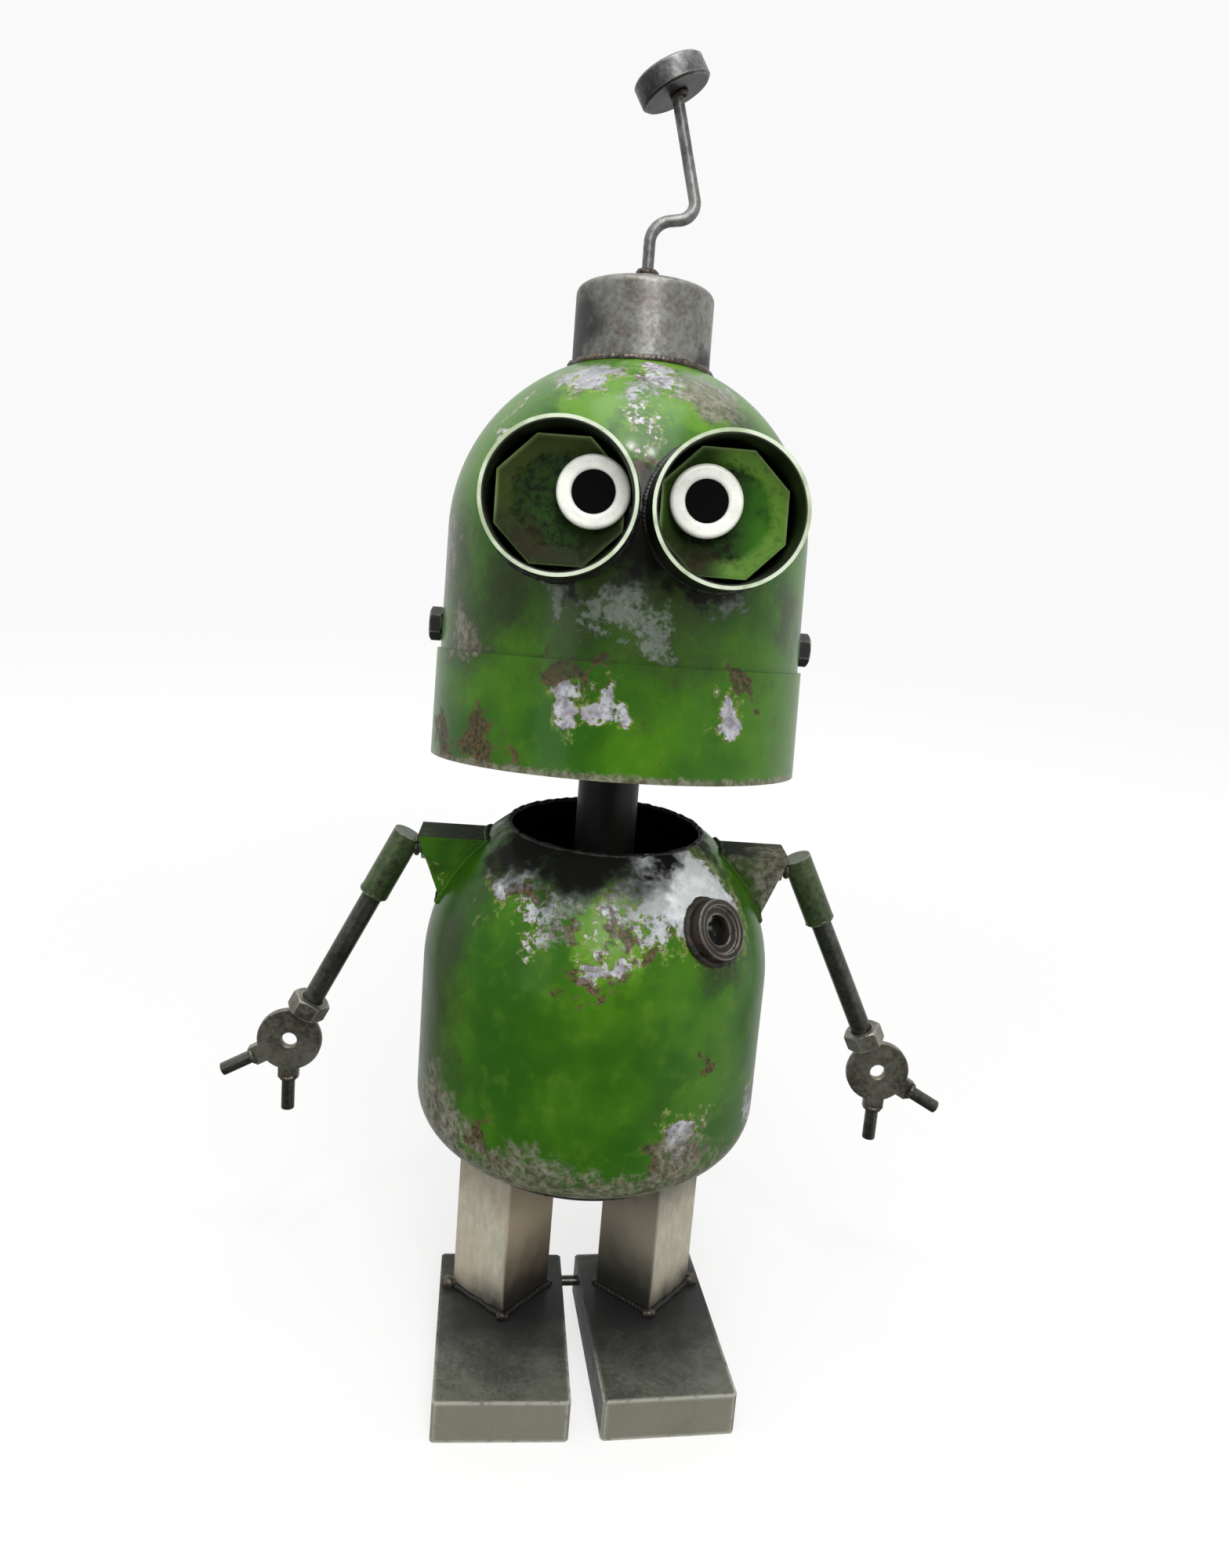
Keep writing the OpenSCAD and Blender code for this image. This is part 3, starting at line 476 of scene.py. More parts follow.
def worked_steel(name, light, dark, tint, tint_share, metal, rough, wear, pits, soot=(), head=False,
                 reach=0.7, edge=(196, 194, 184), coat=0.15, face=None):
    """Mill steel: cloudy between two colours, tinted by heat, sooty in places, and brighter along its edges.

    face is (direction, colour, share) for a side that was ground or left another colour, or painted dark
    as shade, as under the antenna disc."""
    s = Shade(name, head)
    cloud = s.noise(0.07, shift=(11, 3, 29))
    middle = s.noise(0.35, detail=5, rough=0.62, shift=(5, 41, 13))
    streak = s.noise(0.8, detail=3, shift=(7, 7, 7))
    grit = s.noise(2.6, detail=3, rough=0.7)
    base = s.tones(s.total((cloud, 0.6), (streak, 0.4)), 0.36, 0.62, rgb(*dark), rgb(*light))
    base = s.layers(base, (s.ramp(middle, 0.42, 0.68), tint_share, rgb(*tint)))
    if face:
        direction, shade, share = face
        base = s.layers(base, (s.facing(direction), share, rgb(*shade)))
    soot_mask = s.ramp(s.math("ADD", s.spots(soot), s.about(middle, 0.15)), 0.0, 0.70) if soot else 0.0
    surface = s.layers(
        base,
        (s.ramp(grit, 0.58, 0.70), pits, s.mix(cloud, rgb(30, 24, 20), rgb(62, 46, 34))),
        (s.both(s.edges(reach), s.ramp(middle, 0.30, 0.50)), wear, rgb(*edge)),
        (soot_mask, 1, s.mix(grit, rgb(9, 10, 10), rgb(26, 26, 25))))
    rough = s.total((middle, 0.22), (soot_mask, 0.2), base=rough - 0.08)
    shine = s.both(s.math("SUBTRACT", 1.0, soot_mask), metal)
    height = s.total((cloud, 0.9), (middle, 0.45), (grit, 0.25), (streak, 0.15))
    s.finish(surface, rough, shine, height, depth=0.12, coat=coat, coat_rough=0.18)


def leg_metal():
    """The square legs: pale brushed steel, smoked up from the ankles; painted shade on their inner sides and
    tops.
    """
    s = Shade("leg_steel")
    cloud = s.noise(0.07, shift=(11, 3, 29))
    streak = s.noise(0.55, rough=0.6, stretch=(1, 1, 0.4), shift=(7, 7, 7))
    grit = s.noise(2.6, detail=3, rough=0.7)
    across = s.vector("DOT_PRODUCT", s.position, (math.cos(STANCE), math.sin(STANCE), 0))
    inner = s.ramp(s.math("ABSOLUTE", across), LEG_X + 0.8, LEG_X - 0.2)
    left, right = s.ramp(across, 12, -12), s.ramp(across, -12, 12)
    up = s.math("ADD", s.axis("Z"), s.about(cloud, 16))
    smoke = s.either(s.ramp(up, 25, 10), s.both(inner, s.ramp(up, 42, 14)))
    brushed = s.total((cloud, 0.5), (streak, 0.5))
    surface = s.layers(
        s.tones(brushed, 0.36, 0.64, rgb(174, 170, 152), rgb(202, 198, 180)),
        (s.ramp(cloud, 0.40, 0.66), 0.4, rgb(172, 150, 122)),
        # Inner sides: a brown tint on the left leg, and painted shade between the legs on the right leg
        (inner, left, rgb(172, 158, 134)),
        (inner, right, rgb(136, 130, 114)),
        (s.ramp(grit, 0.58, 0.70), 0.25, rgb(70, 58, 46)),
        # Painted shadow of the torso across the tops of the legs, heavier on the right leg
        (s.ramp(up, 36, 54), s.total((right, 0.4), base=0.35), rgb(58, 54, 42)),
        # Smoke up from the ankles; higher on the inner sides, where it is painted shade between the legs as
        # well
        (smoke, 0.96, s.mix(grit, rgb(12, 14, 12), rgb(34, 36, 30))),
        (s.edges(0.8), 0.25, rgb(206, 202, 188)))
    rough = s.total((streak, 0.2), (smoke, 0.2), base=0.42)
    height = s.total((cloud, 0.8), (streak, 0.35), (grit, 0.2))
    s.finish(surface, rough, 0.15, height, depth=0.1, coat=0.05, specular=0.3)


def turned_metal(name, base, deep, rough, grime=0.5):
    """Plated or turned metal: fine machining marks, tarnish and grime."""
    s = Shade(name)
    base, deep = rgb(*base), rgb(*deep)
    cloud = s.noise(0.18)
    fine = s.noise(1.8, rough=0.65, shift=(9, 2, 4))
    surface = s.layers(
        s.tones(cloud, 0.35, 0.65, base, deep),
        (s.ramp(fine, 0.55, 0.72), grime, tuple(c * 0.25 for c in deep)),
        (s.edges(0.35), 0.5, tuple(min(1, c * 1.5 + 0.05) for c in base)))
    height = s.total((cloud, 0.5), (fine, 0.3))
    s.finish(surface, s.total((fine, 0.2), base=rough), 0.95, height, depth=0.04)


def tube_metal():
    """The eye tubes: black inside and out, with a thin rim filed bright."""
    s = Shade("tube_steel", head=True)
    cloud = s.noise(0.12)
    fine = s.noise(1.2, rough=0.65, shift=(9, 2, 4))
    from_rim = s.math("ABSOLUTE", s.math("SUBTRACT", s.from_eyes(), EYE_R - 0.45))
    surface = s.layers(
        s.tones(cloud, 0.35, 0.65, rgb(8, 10, 6), rgb(26, 34, 16)),
        (s.ramp(fine, 0.55, 0.70), 0.6, rgb(44, 40, 28)),
        (s.ramp(from_rim, 0.55, 0.35), s.facing((0, -1, 0)),
         s.tones(cloud, 0.40, 0.62, rgb(188, 198, 176), rgb(150, 164, 132))))
    height = s.total((cloud, 0.6), (fine, 0.3))
    s.finish(surface, s.total((fine, 0.2), base=0.42), 0.2, height, depth=0.08, specular=0.3)


def dish_paint():
    """The eye dishes: green sides with painted light, shade and edge highlights, round a floor painted dark
    as shade.
    """
    s = Shade("dish_paint", head=True)
    cloud = s.noise(0.10, shift=(3, 3, 8))
    speck = s.noise(0.55, rough=0.65)
    fine = s.noise(1.6, detail=3, shift=(8, 1, 4))
    away = s.from_eyes()
    outer = s.ramp(s.math("ADD", away, s.about(speck, 5)), 9.8, 12.2)
    right = s.ramp(s.axis("X"), -4, 6)
    far = s.ramp(s.axis("X"), 14, 22)
    low = s.ramp(s.axis("Z"), EYE_H + 1, EYE_H - 9)
    corners = s.spots([(-27, -49, 54, 9), (14, -49, 53, 8)])
    # Sloping sides: painted shade on the left dish, painted light towards the right of the right dish
    bank = s.layers(
        s.mix(right, rgb(58, 70, 28), s.mix(far, rgb(46, 74, 20), rgb(96, 138, 50))),
        # Painted shade towards the bottom of the sides
        (low, s.total((far, -0.6), base=0.9), rgb(20, 28, 8)),
        (s.ramp(speck, 0.50, 0.66), 0.4, rgb(50, 64, 24)))
    # Painted highlight along the dishes' outer edges, fainter towards the bottom
    edge_highlight = s.both(s.edges(0.7), s.ramp(away, 12.0, 13.5))
    surface = s.layers(
        # The floor, painted dark as the shade inside the tube
        s.tones(speck, 0.36, 0.60, rgb(14, 26, 4), rgb(32, 58, 14)),
        # Painted light on the right of the right dish's floor
        (s.ramp(s.axis("X"), 20, 30), s.ramp(cloud, 0.35, 0.55), rgb(50, 104, 16)),
        (outer, 1, bank),
        (s.ramp(corners, 0.1, 0.6), 0.5, rgb(44, 30, 16)),
        (edge_highlight, s.total((low, -0.6), base=0.7), rgb(142, 166, 104)))
    height = s.total((cloud, 0.8), (fine, 0.3))
    s.finish(surface, s.total((speck, 0.2), base=0.5), 0.0, height, depth=0.1, specular=0.12)


def enamel(name, base, shadow, rough=0.25, coat=0.3, specular=0.5):
    """Gloss plastic or enamel with faint grime and soft scratches."""
    s = Shade(name)
    base = rgb(*base)
    cloud = s.noise(0.25)
    fine = s.noise(2.4, detail=3, shift=(5, 5, 1))
    surface = s.layers(
        s.tones(cloud, 0.40, 0.70, base, tuple(0.86 * c for c in base)),
        (s.ramp(fine, 0.60, 0.72), 0.45, rgb(*shadow)))
    height = s.total((cloud, 0.5), (fine, 0.2))
    rough = s.total((fine, 0.15), base=rough)
    s.finish(surface, rough, height=height, depth=0.03, coat=coat, specular=specular)


# Each steel's light, dark and tint colours, its tint's share, metalness, roughness, edge brightening (wear,
# and on the feet a painted highlight) and pits
STEELS = {
    "foot_steel": ((96, 100, 88), (58, 62, 54), (84, 76, 62), 0.3, 0.3, 0.5, 1.0, 0.25),
    "cap_steel": ((132, 134, 128), (90, 88, 84), (88, 72, 64), 0.45, 0.7, 0.4, 0.45, 0.25),
    "wire_steel": ((122, 122, 120), (70, 70, 70), (66, 60, 54), 0.4, 0.6, 0.42, 0.2, 0.4),
    "disc_steel": ((112, 112, 112), (54, 54, 54), (52, 46, 42), 0.5, 0.6, 0.42, 0.8, 0.4),
    "arm_steel": ((94, 96, 90), (58, 60, 54), (70, 78, 56), 0.25, 0.85, 0.32, 0.4, 0.3),
    "sleeve_steel": ((80, 96, 64), (42, 50, 34), (54, 84, 30), 0.5, 0.55, 0.36, 0.5, 0.3),
    "hand_steel": ((130, 130, 118), (72, 72, 62), (104, 86, 62), 0.4, 0.75, 0.38, 0.8, 0.4),
    "boss_steel": ((42, 42, 32), (12, 12, 8), (66, 48, 32), 0.6, 0.2, 0.6, 0.9, 0.7),
    # Near black: soot, and painted shade on the neck and base plate, which sit in shade
    "sooty_shaded_steel": ((24, 27, 22), (8, 9, 7), (26, 20, 14), 0.5, 0.25, 0.5, 0.3, 0.4),
    "weld_steel": ((96, 92, 84), (36, 32, 30), (92, 66, 44), 0.5, 0.7, 0.4, 0.0, 0.6),
}

# What some of them have besides
STEEL_EXTRAS = {
    # The feet's broad bright edges: wear and a painted highlight
    "foot_steel": {"reach": 1.8, "edge": (196, 196, 182), "face": ((0, -1, 0), (138, 135, 120), 0.8),
                   "soot": [(-18, -10, 12, 44, (0.9, 1, 1)), (23, -10, 12, 44, (0.9, 1, 1))]},
    # The cap's first soot spot is painted shade down its left side
    "cap_steel": {"head": True, "soot": [(-20, -8, 112, 17, (1, 1, 0.7)), (20, -6, 106, 9)]},
    "wire_steel": {"soot": [(0, -17, 357, 12)]},
    # Painted shade: the disc's underside, facing down and forward, painted dark
    "disc_steel": {"face": ((0, -0.5, -0.87), (34, 34, 34), 0.9)},
    "boss_steel": {"coat": 0.0},
}


def make_finishes():
    """Every finish of the pieces, into FINISHES."""
    worn_paint(
        "torso_paint", hollow=(0, 0, 114), rim=(66, 82),
        bare=[(-27, -30, 146, 12, (1, 1, 1.1)), (22, -30, 147, 25, (0.75, 1, 1)), (-1, -46, 131, 7),
              (47, -16, 80, 12, (1, 1, 0.8)), (22, -44, 86, 9), (0, 47, 82, 12), (-44, 20, 92, 9),
              (30, 32, 146, 15), (-28, 34, 140, 12)],
        flecks=[(-17, -38, 143, 13), (5, -41, 139, 10, (0.8, 1, 1)), (-1, -45, 131, 11), (15, -41, 140, 9),
                (24, -43, 82, 12), (-38, -30, 74, 12)],
        # Cleaner steel with a painted reflection, on the upper right of the chest
        pale=[(21, -28, 149, 22), (-26, -31, 147, 8)],
        bright=[(2, -42, 138, 16)],
        # Spots of painted reflection on the varnish
        painted_sheen=[(-8, -36, 150, 15), (9, -37, 149, 15), (-23, -30, 150, 12), (-12, -40, 142, 10)],
        rust=[(-21, -34, 143, 6), (-2, -47, 127, 9, (0.7, 1, 1.5)), (-43, -24, 79, 10), (-28, -40, 77, 10),
              (17, -46, 78, 8), (28, -40, 77, 9), (30, -39, 105, 4), (20, 43, 84, 8), (-38, 30, 78, 8),
              (6, 48, 104, 5), (4, -43, 138, 7), (-10, -42, 139, 6), (12, -43, 134, 5)],
        dull=[(-42, -26, 78, 22, (1, 1, 1.2)), (-16, -45, 71, 15, (0.6, 1, 1.2)), (26, -43, 74, 18),
              (46, -12, 84, 12), (0, 46, 72, 20, (0.6, 1, 1.6))],
        dark=[(-41, -24, 128, 19, (1.2, 1.2, 0.7)), (31, -36, 133, 15), (-46, -16, 104, 26, (0.9, 0.9, 0.5)),
              (44, 18, 128, 16), (0, 49, 120, 16)],
        # Soot; the spots round the mouth lie under the head and are painted shade of the head as well
        soot=[(-6, -29, 155, 21, (0.75, 1, 1.2)), (-22, -20, 155, 19), (2, 30, 154, 22, (0.6, 1, 1)),
              (12, -26, 157, 12), (0, 56, 88, 14), (28, -33, 137.5, 8), (26, -8, 157, 11), (-29, 4, 155, 14)])
    worn_paint(
        "head_paint", head=True, hollow=(0, 2, 234), rim=(0, 3), coat=0.22,
        bare=[(-15, -27, 100, 11, (0.8, 1, 1.4)), (3, -30, 101, 9), (-14, -47, 18, 8, (1.1, 1, 0.8)),
              (-4, -49, 16, 7, (1.4, 1, 0.8)), (25, -43, 19, 6, (1.3, 1, 0.8)), (30, 38, 22, 12),
              (-20, 44, 40, 11), (8, 40, 88, 13), (-34, 20, 84, 11)],
        flecks=[(0, -38, 92, 11, (1.6, 1, 0.8)), (12, -30, 98, 12), (-1, -42, 86, 11, (1.4, 1, 1)),
                (22, -24, 97, 11), (-30, -24, 84, 9), (1, -46, 77, 8)],
        bright=[(-10, -34, 90, 15), (14, -32, 90, 15), (4, -20, 104, 14), (-24, -30, 82, 9)],
        # Spots of painted reflection on the varnish
        painted_sheen=[(2, -48, 37, 11, (0.8, 1, 1.3)), (-17, -46, 41, 8), (24, -42, 44, 9), (-4, -48, 43, 9),
              (-16, -25, 101, 13, (0.7, 1, 1.4)), (16, -25, 100, 13, (0.7, 1, 1.4)), (0, -36, 95, 9)],
        rust=[(-15, -47, 26, 9, (0.8, 1, 1.5)), (29, -40, 24, 8, (1, 1, 1.2)),
              (-35, -34, 5, 14, (0.7, 1, 1.2)), (-45, -20, 4, 12), (5, -49, 0, 6),
              (1, -46, 76, 8, (1.3, 1, 1)), (34, 34, 3, 10), (-10, 48, 26, 9), (0, -35, 99, 6)],
        dull=[(-41, -28, 33, 13, (1, 1, 1.4)), (18, -30, 95, 15), (-46, -10, 53, 10), (0, 47, 12, 18),
              (36, 30, 60, 14)],
        dark=[(0, -49, 48, 36, (0.75, 1, 0.9)), (-40, -28, 34, 22, (1, 1, 1.2)), (-46, -16, 50, 22),
              (40, -26, 40, 12), (-30, -36, 44, 16), (26, -34, 92, 14)],
        # Soot; the first three spots, under and between the eye tubes, are painted shadow of the tubes as
        # well
        soot=[(3, -48, 60, 18, (1.1, 1, 0.8)), (-19, -46, 46, 10, (0.7, 1, 1.8)),
              (19, -46, 46, 10, (0.7, 1, 1.8)), (0, 0, 108, 12)])
    worn_paint(
        "bracket_paint",
        bare=[(50, -6, 144, 9), (-51, -7, 144, 6)],
        rust=[(40, -6, 134, 6), (-44, -6, 132, 6)],
        dark=[(48, 0, 146, 30), (-54, 0, 148, 12), (-46, 0, 155, 18)],
        dull=[(50, -4, 146, 16)],
        soot=[(-36, 0, 130, 7), (36, 0, 130, 7)],
        smoky_tops=True, coat=0.0)
    dish_paint()
    leg_metal()
    tube_metal()
    for name, values in STEELS.items():
        worked_steel(name, *values, **STEEL_EXTRAS.get(name, {}))
    turned_metal("zinc", (140, 140, 134), (92, 92, 88), rough=0.32, grime=0.6)
    turned_metal("brass", (176, 150, 92), (112, 88, 48), rough=0.34)
    turned_metal("spring_steel", (96, 104, 128), (54, 56, 66), rough=0.24)
    enamel("white_enamel", (226, 228, 218), (120, 118, 100))
    enamel("black_enamel", (3, 3, 3), (14, 18, 12), rough=0.5, coat=0.0, specular=0.04)


def pair(*stems):
    """The left and right nodes of each kind."""
    return [f"{stem}_{word}" for stem in stems for _, word in SIDES]


NODE_FINISHES = {
    "torso_paint": ["torso_shell"],
    "head_paint": ["head_dome", "head_band"],
    "bracket_paint": pair("shoulder_bracket"),
    "dish_paint": pair("eye_dish"),
    "leg_steel": pair("leg"),
    "foot_steel": pair("foot"),
    "cap_steel": ["top_cap"],
    "wire_steel": ["antenna_wire", *pair("shoulder_pin")],
    "disc_steel": ["antenna_disc"],
    "arm_steel": ["ankle_tie_rod", *pair("arm_rod", "hand_fingers")],
    "sleeve_steel": pair("arm_sleeve"),
    "hand_steel": ["antenna_nut", *pair("hand_disc", "wrist_nut")],
    "boss_steel": ["chest_boss"],
    "tube_steel": pair("eye_tube"),
    # The neck and base plate sit in shade; their near-black finish is soot and painted shade
    "sooty_shaded_steel": ["neck_tube", "neck_yoke", "torso_base_plate", "head_bolts"],
    "zinc": ["base_screws", "pillar_nuts", "bridge_screws", "head_nuts", "motor_pillars"],
    "brass": ["motor_front_plate", "motor_rear_plate", "neck_bridge", "neck_bush", "key_bush",
              "contrate_wheel", "winding_key", "spring_barrel", "second_arbor"],
    "spring_steel": ["clutch_spring", "mainspring", "winding_arbor", "neck_spindle", "governor_fly"],
    "white_enamel": pair("eye_ring"),
    "black_enamel": pair("eye_pupil"),
}

# Stamped, sawn and turned pieces with softened corners, by how far in millimetres
ROUNDED = {
    0.3: ["antenna_disc", "chest_boss"],
    0.35: ["winding_key", *pair("hand_disc")],
    0.4: pair("shoulder_bracket"),
    0.6: pair("foot"),
    0.8: pair("leg"),
}


def paint_nodes():
    for finish, names in NODE_FINISHES.items():
        for name in names:
            piece = nodes[name]
            piece.data.materials.clear()
            piece.data.materials.append(FINISHES[finish])


def round_corners():
    """Bevels on the pieces above, after joining the faces that the CAD mesh keeps apart."""
    for width, names in ROUNDED.items():
        for name in names:
            join = nodes[name].modifiers.new("join", "WELD")
            join.merge_threshold = 0.002 * MM
            bevel = nodes[name].modifiers.new("soften", "BEVEL")
            bevel.width = width * MM
            bevel.segments = 2
            bevel.limit_method = "ANGLE"
            bevel.angle_limit = math.radians(40)
            bevel.harden_normals = True


# ---- Meshes ----


def add_piece(name, points, faces, finish, body, smooth=True):
    """A mesh piece in the row frame, in metres, with a finish, riding on a body."""
    mesh = bpy.data.meshes.new(name)
    mesh.from_pydata([tuple(p) for p in points], [], faces)
    mesh.materials.append(FINISHES[finish])
    mesh.update()
    for face in mesh.polygons:
        face.use_smooth = smooth
    piece = bpy.data.objects.new(name, mesh)
    bpy.context.scene.collection.objects.link(piece)
    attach(piece, body)
    return piece


def polar(radius, angle, z):
    return radius * math.cos(angle), radius * math.sin(angle), z


def turns(count):
    """Angles an even step apart, once round."""
    return [2 * math.pi * i / count for i in range(count)]


def skin(rings, closed=False):
    """Points and faces of a surface through rings of points. A ring of one point closes an end."""
    sides = max(len(ring) for ring in rings)
    points, numbers = [], []
    for ring in rings:
        numbers.append([len(points) + k for k in range(len(ring))] * (sides // len(ring)))
        points += ring
    pairs = list(zip(numbers, numbers[1:]))
    if closed:
        pairs.append((numbers[-1], numbers[0]))
    faces = []
    for low, high in pairs:
        for k in range(sides):
            m = (k + 1) % sides
            faces.append(tuple(dict.fromkeys((low[k], low[m], high[m], high[k]))))
    return points, faces


def resample(path, step, closed):
    """Points an even step apart along a path."""
    corners = list(path) + ([path[0]] if closed else [])
    runs = [(a, b, (b - a).length) for a, b in zip(corners, corners[1:])]
    total = sum(run[2] for run in runs)
    count = max(4, round(total / step))
    wanted = [total * i / count for i in range(count if closed else count + 1)]
    made, start, index = [], 0.0, 0
    for distance in wanted:
        while index < len(runs) - 1 and distance > start + runs[index][2]:
            start += runs[index][2]
            index += 1
        a, b, length = runs[index]
        made.append(a.lerp(b, min(1, (distance - start) / max(length, 1e-9))))
    return made


def sweep(path, radius_at, sides, closed):
    """Points and faces of a tube along a path. radius_at(step, side angle) gives each point's radius."""
    count = len(path)
    rings, across = [], None
    for i, centre in enumerate(path):
        before = path[i - 1] if closed or i else path[0]
        after = path[(i + 1) % count] if closed or i < count - 1 else path[-1]
        along = (after - before).normalized()
        if across is None:
            across = along.orthogonal().normalized()
        across = (across - along * across.dot(along)).normalized()
        other = along.cross(across)
        rings.append([centre + (across * math.cos(angle) + other * math.sin(angle)) * radius_at(i, angle)
                      for angle in turns(sides)])
    points, faces = skin(rings, closed)
    if not closed:
        faces.append(tuple(range(sides - 1, -1, -1)))
        faces.append(tuple((count - 1) * sides + k for k in range(sides)))
    return points, faces


def weld_bead(name, path, radius, body, finish, seed, closed=True):
    """A hand-laid weld: a lumpy bead with overlapping ripples. Path and radius are in millimetres."""
    pitch, ripple_depth, lump_depth = 5, 0.20, 0.34
    path = resample([Vector(p) for p in path], radius * 0.22, closed)

    def radius_at(i, angle):
        ripple = (i / pitch + 0.22 * math.cos(angle)) % 1.0
        lump = noise.noise(path[i] * (0.45 / radius) + Vector((seed * 7.3, 0, 0)))
        return radius * MM * (0.86 + ripple_depth * ripple + lump_depth * lump)

    wander = []
    for p in path:
        push = noise.noise_vector(p * (0.30 / radius) + Vector((0, seed * 3.1, 0))) * radius * 0.25
        wander.append((p + push) * MM)
    points, faces = sweep(wander, radius_at, 10, closed)
    return add_piece(name, points, faces, finish, body)


def in_place(points, frame_at):
    """Points in millimetres of a local frame, as metres of the row frame."""
    return [frame_at @ Vector(p) * MM for p in points]


def hex_piece(name, frame_at, corner, height, finish, body, bore=0.0, blind=0.0):
    """A nut or bolt head up the frame's Z, its corners cut by the usual 30 degree cone at both ends.

    corner is its radius at the corners, bore its hole's radius, and blind how much is left closed at the
    bottom of the hole."""
    flat = corner * math.cos(math.radians(30))
    seat, lead, count = flat * 0.97, 0.3, 60

    def ring(radius, z):
        return [polar(radius, angle, z) for angle in turns(count)]

    def cut_ring(z, way):
        """The hexagon's own outline, where the cone from the seat at this height cuts it."""
        made = []
        for i, angle in enumerate(turns(count)):
            r = flat / math.cos(math.radians((360 * i / count) % 60 - 30))
            cut = (r - seat) * math.tan(math.radians(30))
            made.append(polar(r, angle, z + way * cut))
        return made

    rings = [ring(seat, 0.0), cut_ring(0.0, 1), cut_ring(height, -1), ring(seat, height)]
    through = bore > 0 and not blind
    if bore:
        rings += [ring(bore + lead, height), ring(bore, height - lead)]
    if through:
        rings += [ring(bore, lead), ring(bore + lead, 0.0)]
    elif blind:
        rings = [[(0, 0, 0)], *rings, ring(bore, blind), [(0, 0, blind)]]
    else:
        rings = [[(0, 0, 0)], *rings, [(0, 0, height)]]
    points, faces = skin(rings, closed=through)
    return add_piece(name, in_place(points, frame_at), faces, finish, body, smooth=False)


def merge(name, pieces):
    """Joins made pieces into the first one, as one mesh."""
    first = pieces[0]
    mesh = bmesh.new()
    for piece in pieces:
        mesh.from_mesh(piece.data)
    mesh.to_mesh(first.data)
    mesh.free()
    for piece in pieces[1:]:
        bpy.data.objects.remove(piece)
    first.name = name
    return first


def thread(name, frame_at, radius, start, end, pitch, finish, body):
    """A threaded shank up the frame's Z: a cylinder with a real helical V groove, tapered at its far end."""
    sides, depth = 36, 0.16 * radius
    steps = round((end - start) / pitch * 8)
    rings = [[(0, 0, start)]]
    for i in range(steps + 1):
        z = start + (end - start) * i / steps
        taper = 1 - 0.12 * max(0.0, 1 - (end - z) / pitch)
        ring = []
        for k, angle in enumerate(turns(sides)):
            turn = (z / pitch - k / sides) % 1.0
            r = (radius - depth * (1 - abs(2 * turn - 1))) * taper
            ring.append(polar(r, angle, z))
        rings.append(ring)
    points, faces = skin([*rings, [(0, 0, end)]])
    return add_piece(name, in_place(points, frame_at), faces, finish, body)


def slotted_head(name, frame_at, radius, height, slot_w, slot_d, finish, body):
    """A pan head up the frame's Z with a screwdriver slot across it."""
    floor_z = height - slot_d
    rows = [(1.0, height * 0.62), (0.93, height * 0.86), (0.78, height)]
    arc, gap = 14, 3

    def half(start, r, z):
        """Points along one side of the slot at a radius, over the half that starts at an angle."""
        span = math.acos(slot_w / 2 / r)
        angles = [start - span + 2 * span * i / (arc - 1) for i in range(arc)]
        return [polar(r, angle, z) for angle in angles]

    def slot_end(start, z):
        """Points across one end of the slot."""
        span = math.acos(slot_w / 2 / radius)
        angles = [start + span + (math.pi - 2 * span) * (i + 1) / (gap + 1) for i in range(gap)]
        return [polar(radius, angle, z) for angle in angles]

    def outline(z):
        return [p for start in (0.0, math.pi) for p in half(start, radius, z) + slot_end(start, z)]

    points, faces = skin([outline(0.0), outline(floor_z)])
    count = arc + gap
    faces.append(tuple(range(2 * count - 1, -1, -1)))
    right = [2 * count + i for i in range(arc)]
    left = [i + count for i in right]
    ends = [range(right[-1] + 1, left[0]), range(left[-1] + 1, len(points))]
    faces.append((right[-1], *ends[0], left[0], left[-1], *ends[1], right[0]))
    for start, low in ((0.0, right), (math.pi, left)):
        layers = [low]
        for share, z in rows:
            layers.append([len(points) + i for i in range(arc)])
            points += half(start, radius * share, z)
        for lower, upper in zip(layers, layers[1:]):
            faces += [(lower[i], lower[i + 1], upper[i + 1], upper[i]) for i in range(arc - 1)]
        faces.append(tuple(layers[-1]))
        faces.append(tuple([layer[-1] for layer in layers] + [layer[0] for layer in reversed(layers)]))
    return add_piece(name, in_place(points, frame_at), faces, finish, body, smooth=False)


def facing(centre, axis, across=UP):
    """A frame at a point whose Z is an axis and whose X lies towards another way."""
    z = Vector(axis).normalized()
    x = (Vector(across) - z * Vector(across).dot(z)).normalized()
    return Matrix.Translation(centre) @ Matrix((x, z.cross(x), z)).transposed().to_4x4()


def circle_path(centre, axis, radius, count=64):
    axis = Vector(axis).normalized()
    u = axis.orthogonal().normalized()
    v = axis.cross(u)
    return [Vector(centre) + (u * math.cos(angle) + v * math.sin(angle)) * radius for angle in turns(count)]


def on_head(points):
    return [HEAD_TO_ROW @ Vector(p) for p in points]


def torso_surface(y, z):
    """The x of the crown's surface at a place, to the right of the middle."""
    return math.sqrt(max(0.0, TORSO_R ** 2 - y * y - (z - CROWN_Z) ** 2))


def dome_gap(p):
    """How far a point of the head's frame lies outside the dome."""
    rise = max(0.0, p.z - DOME_SIDE)
    return Vector((p.x, p.y, rise)).length - DOME_R


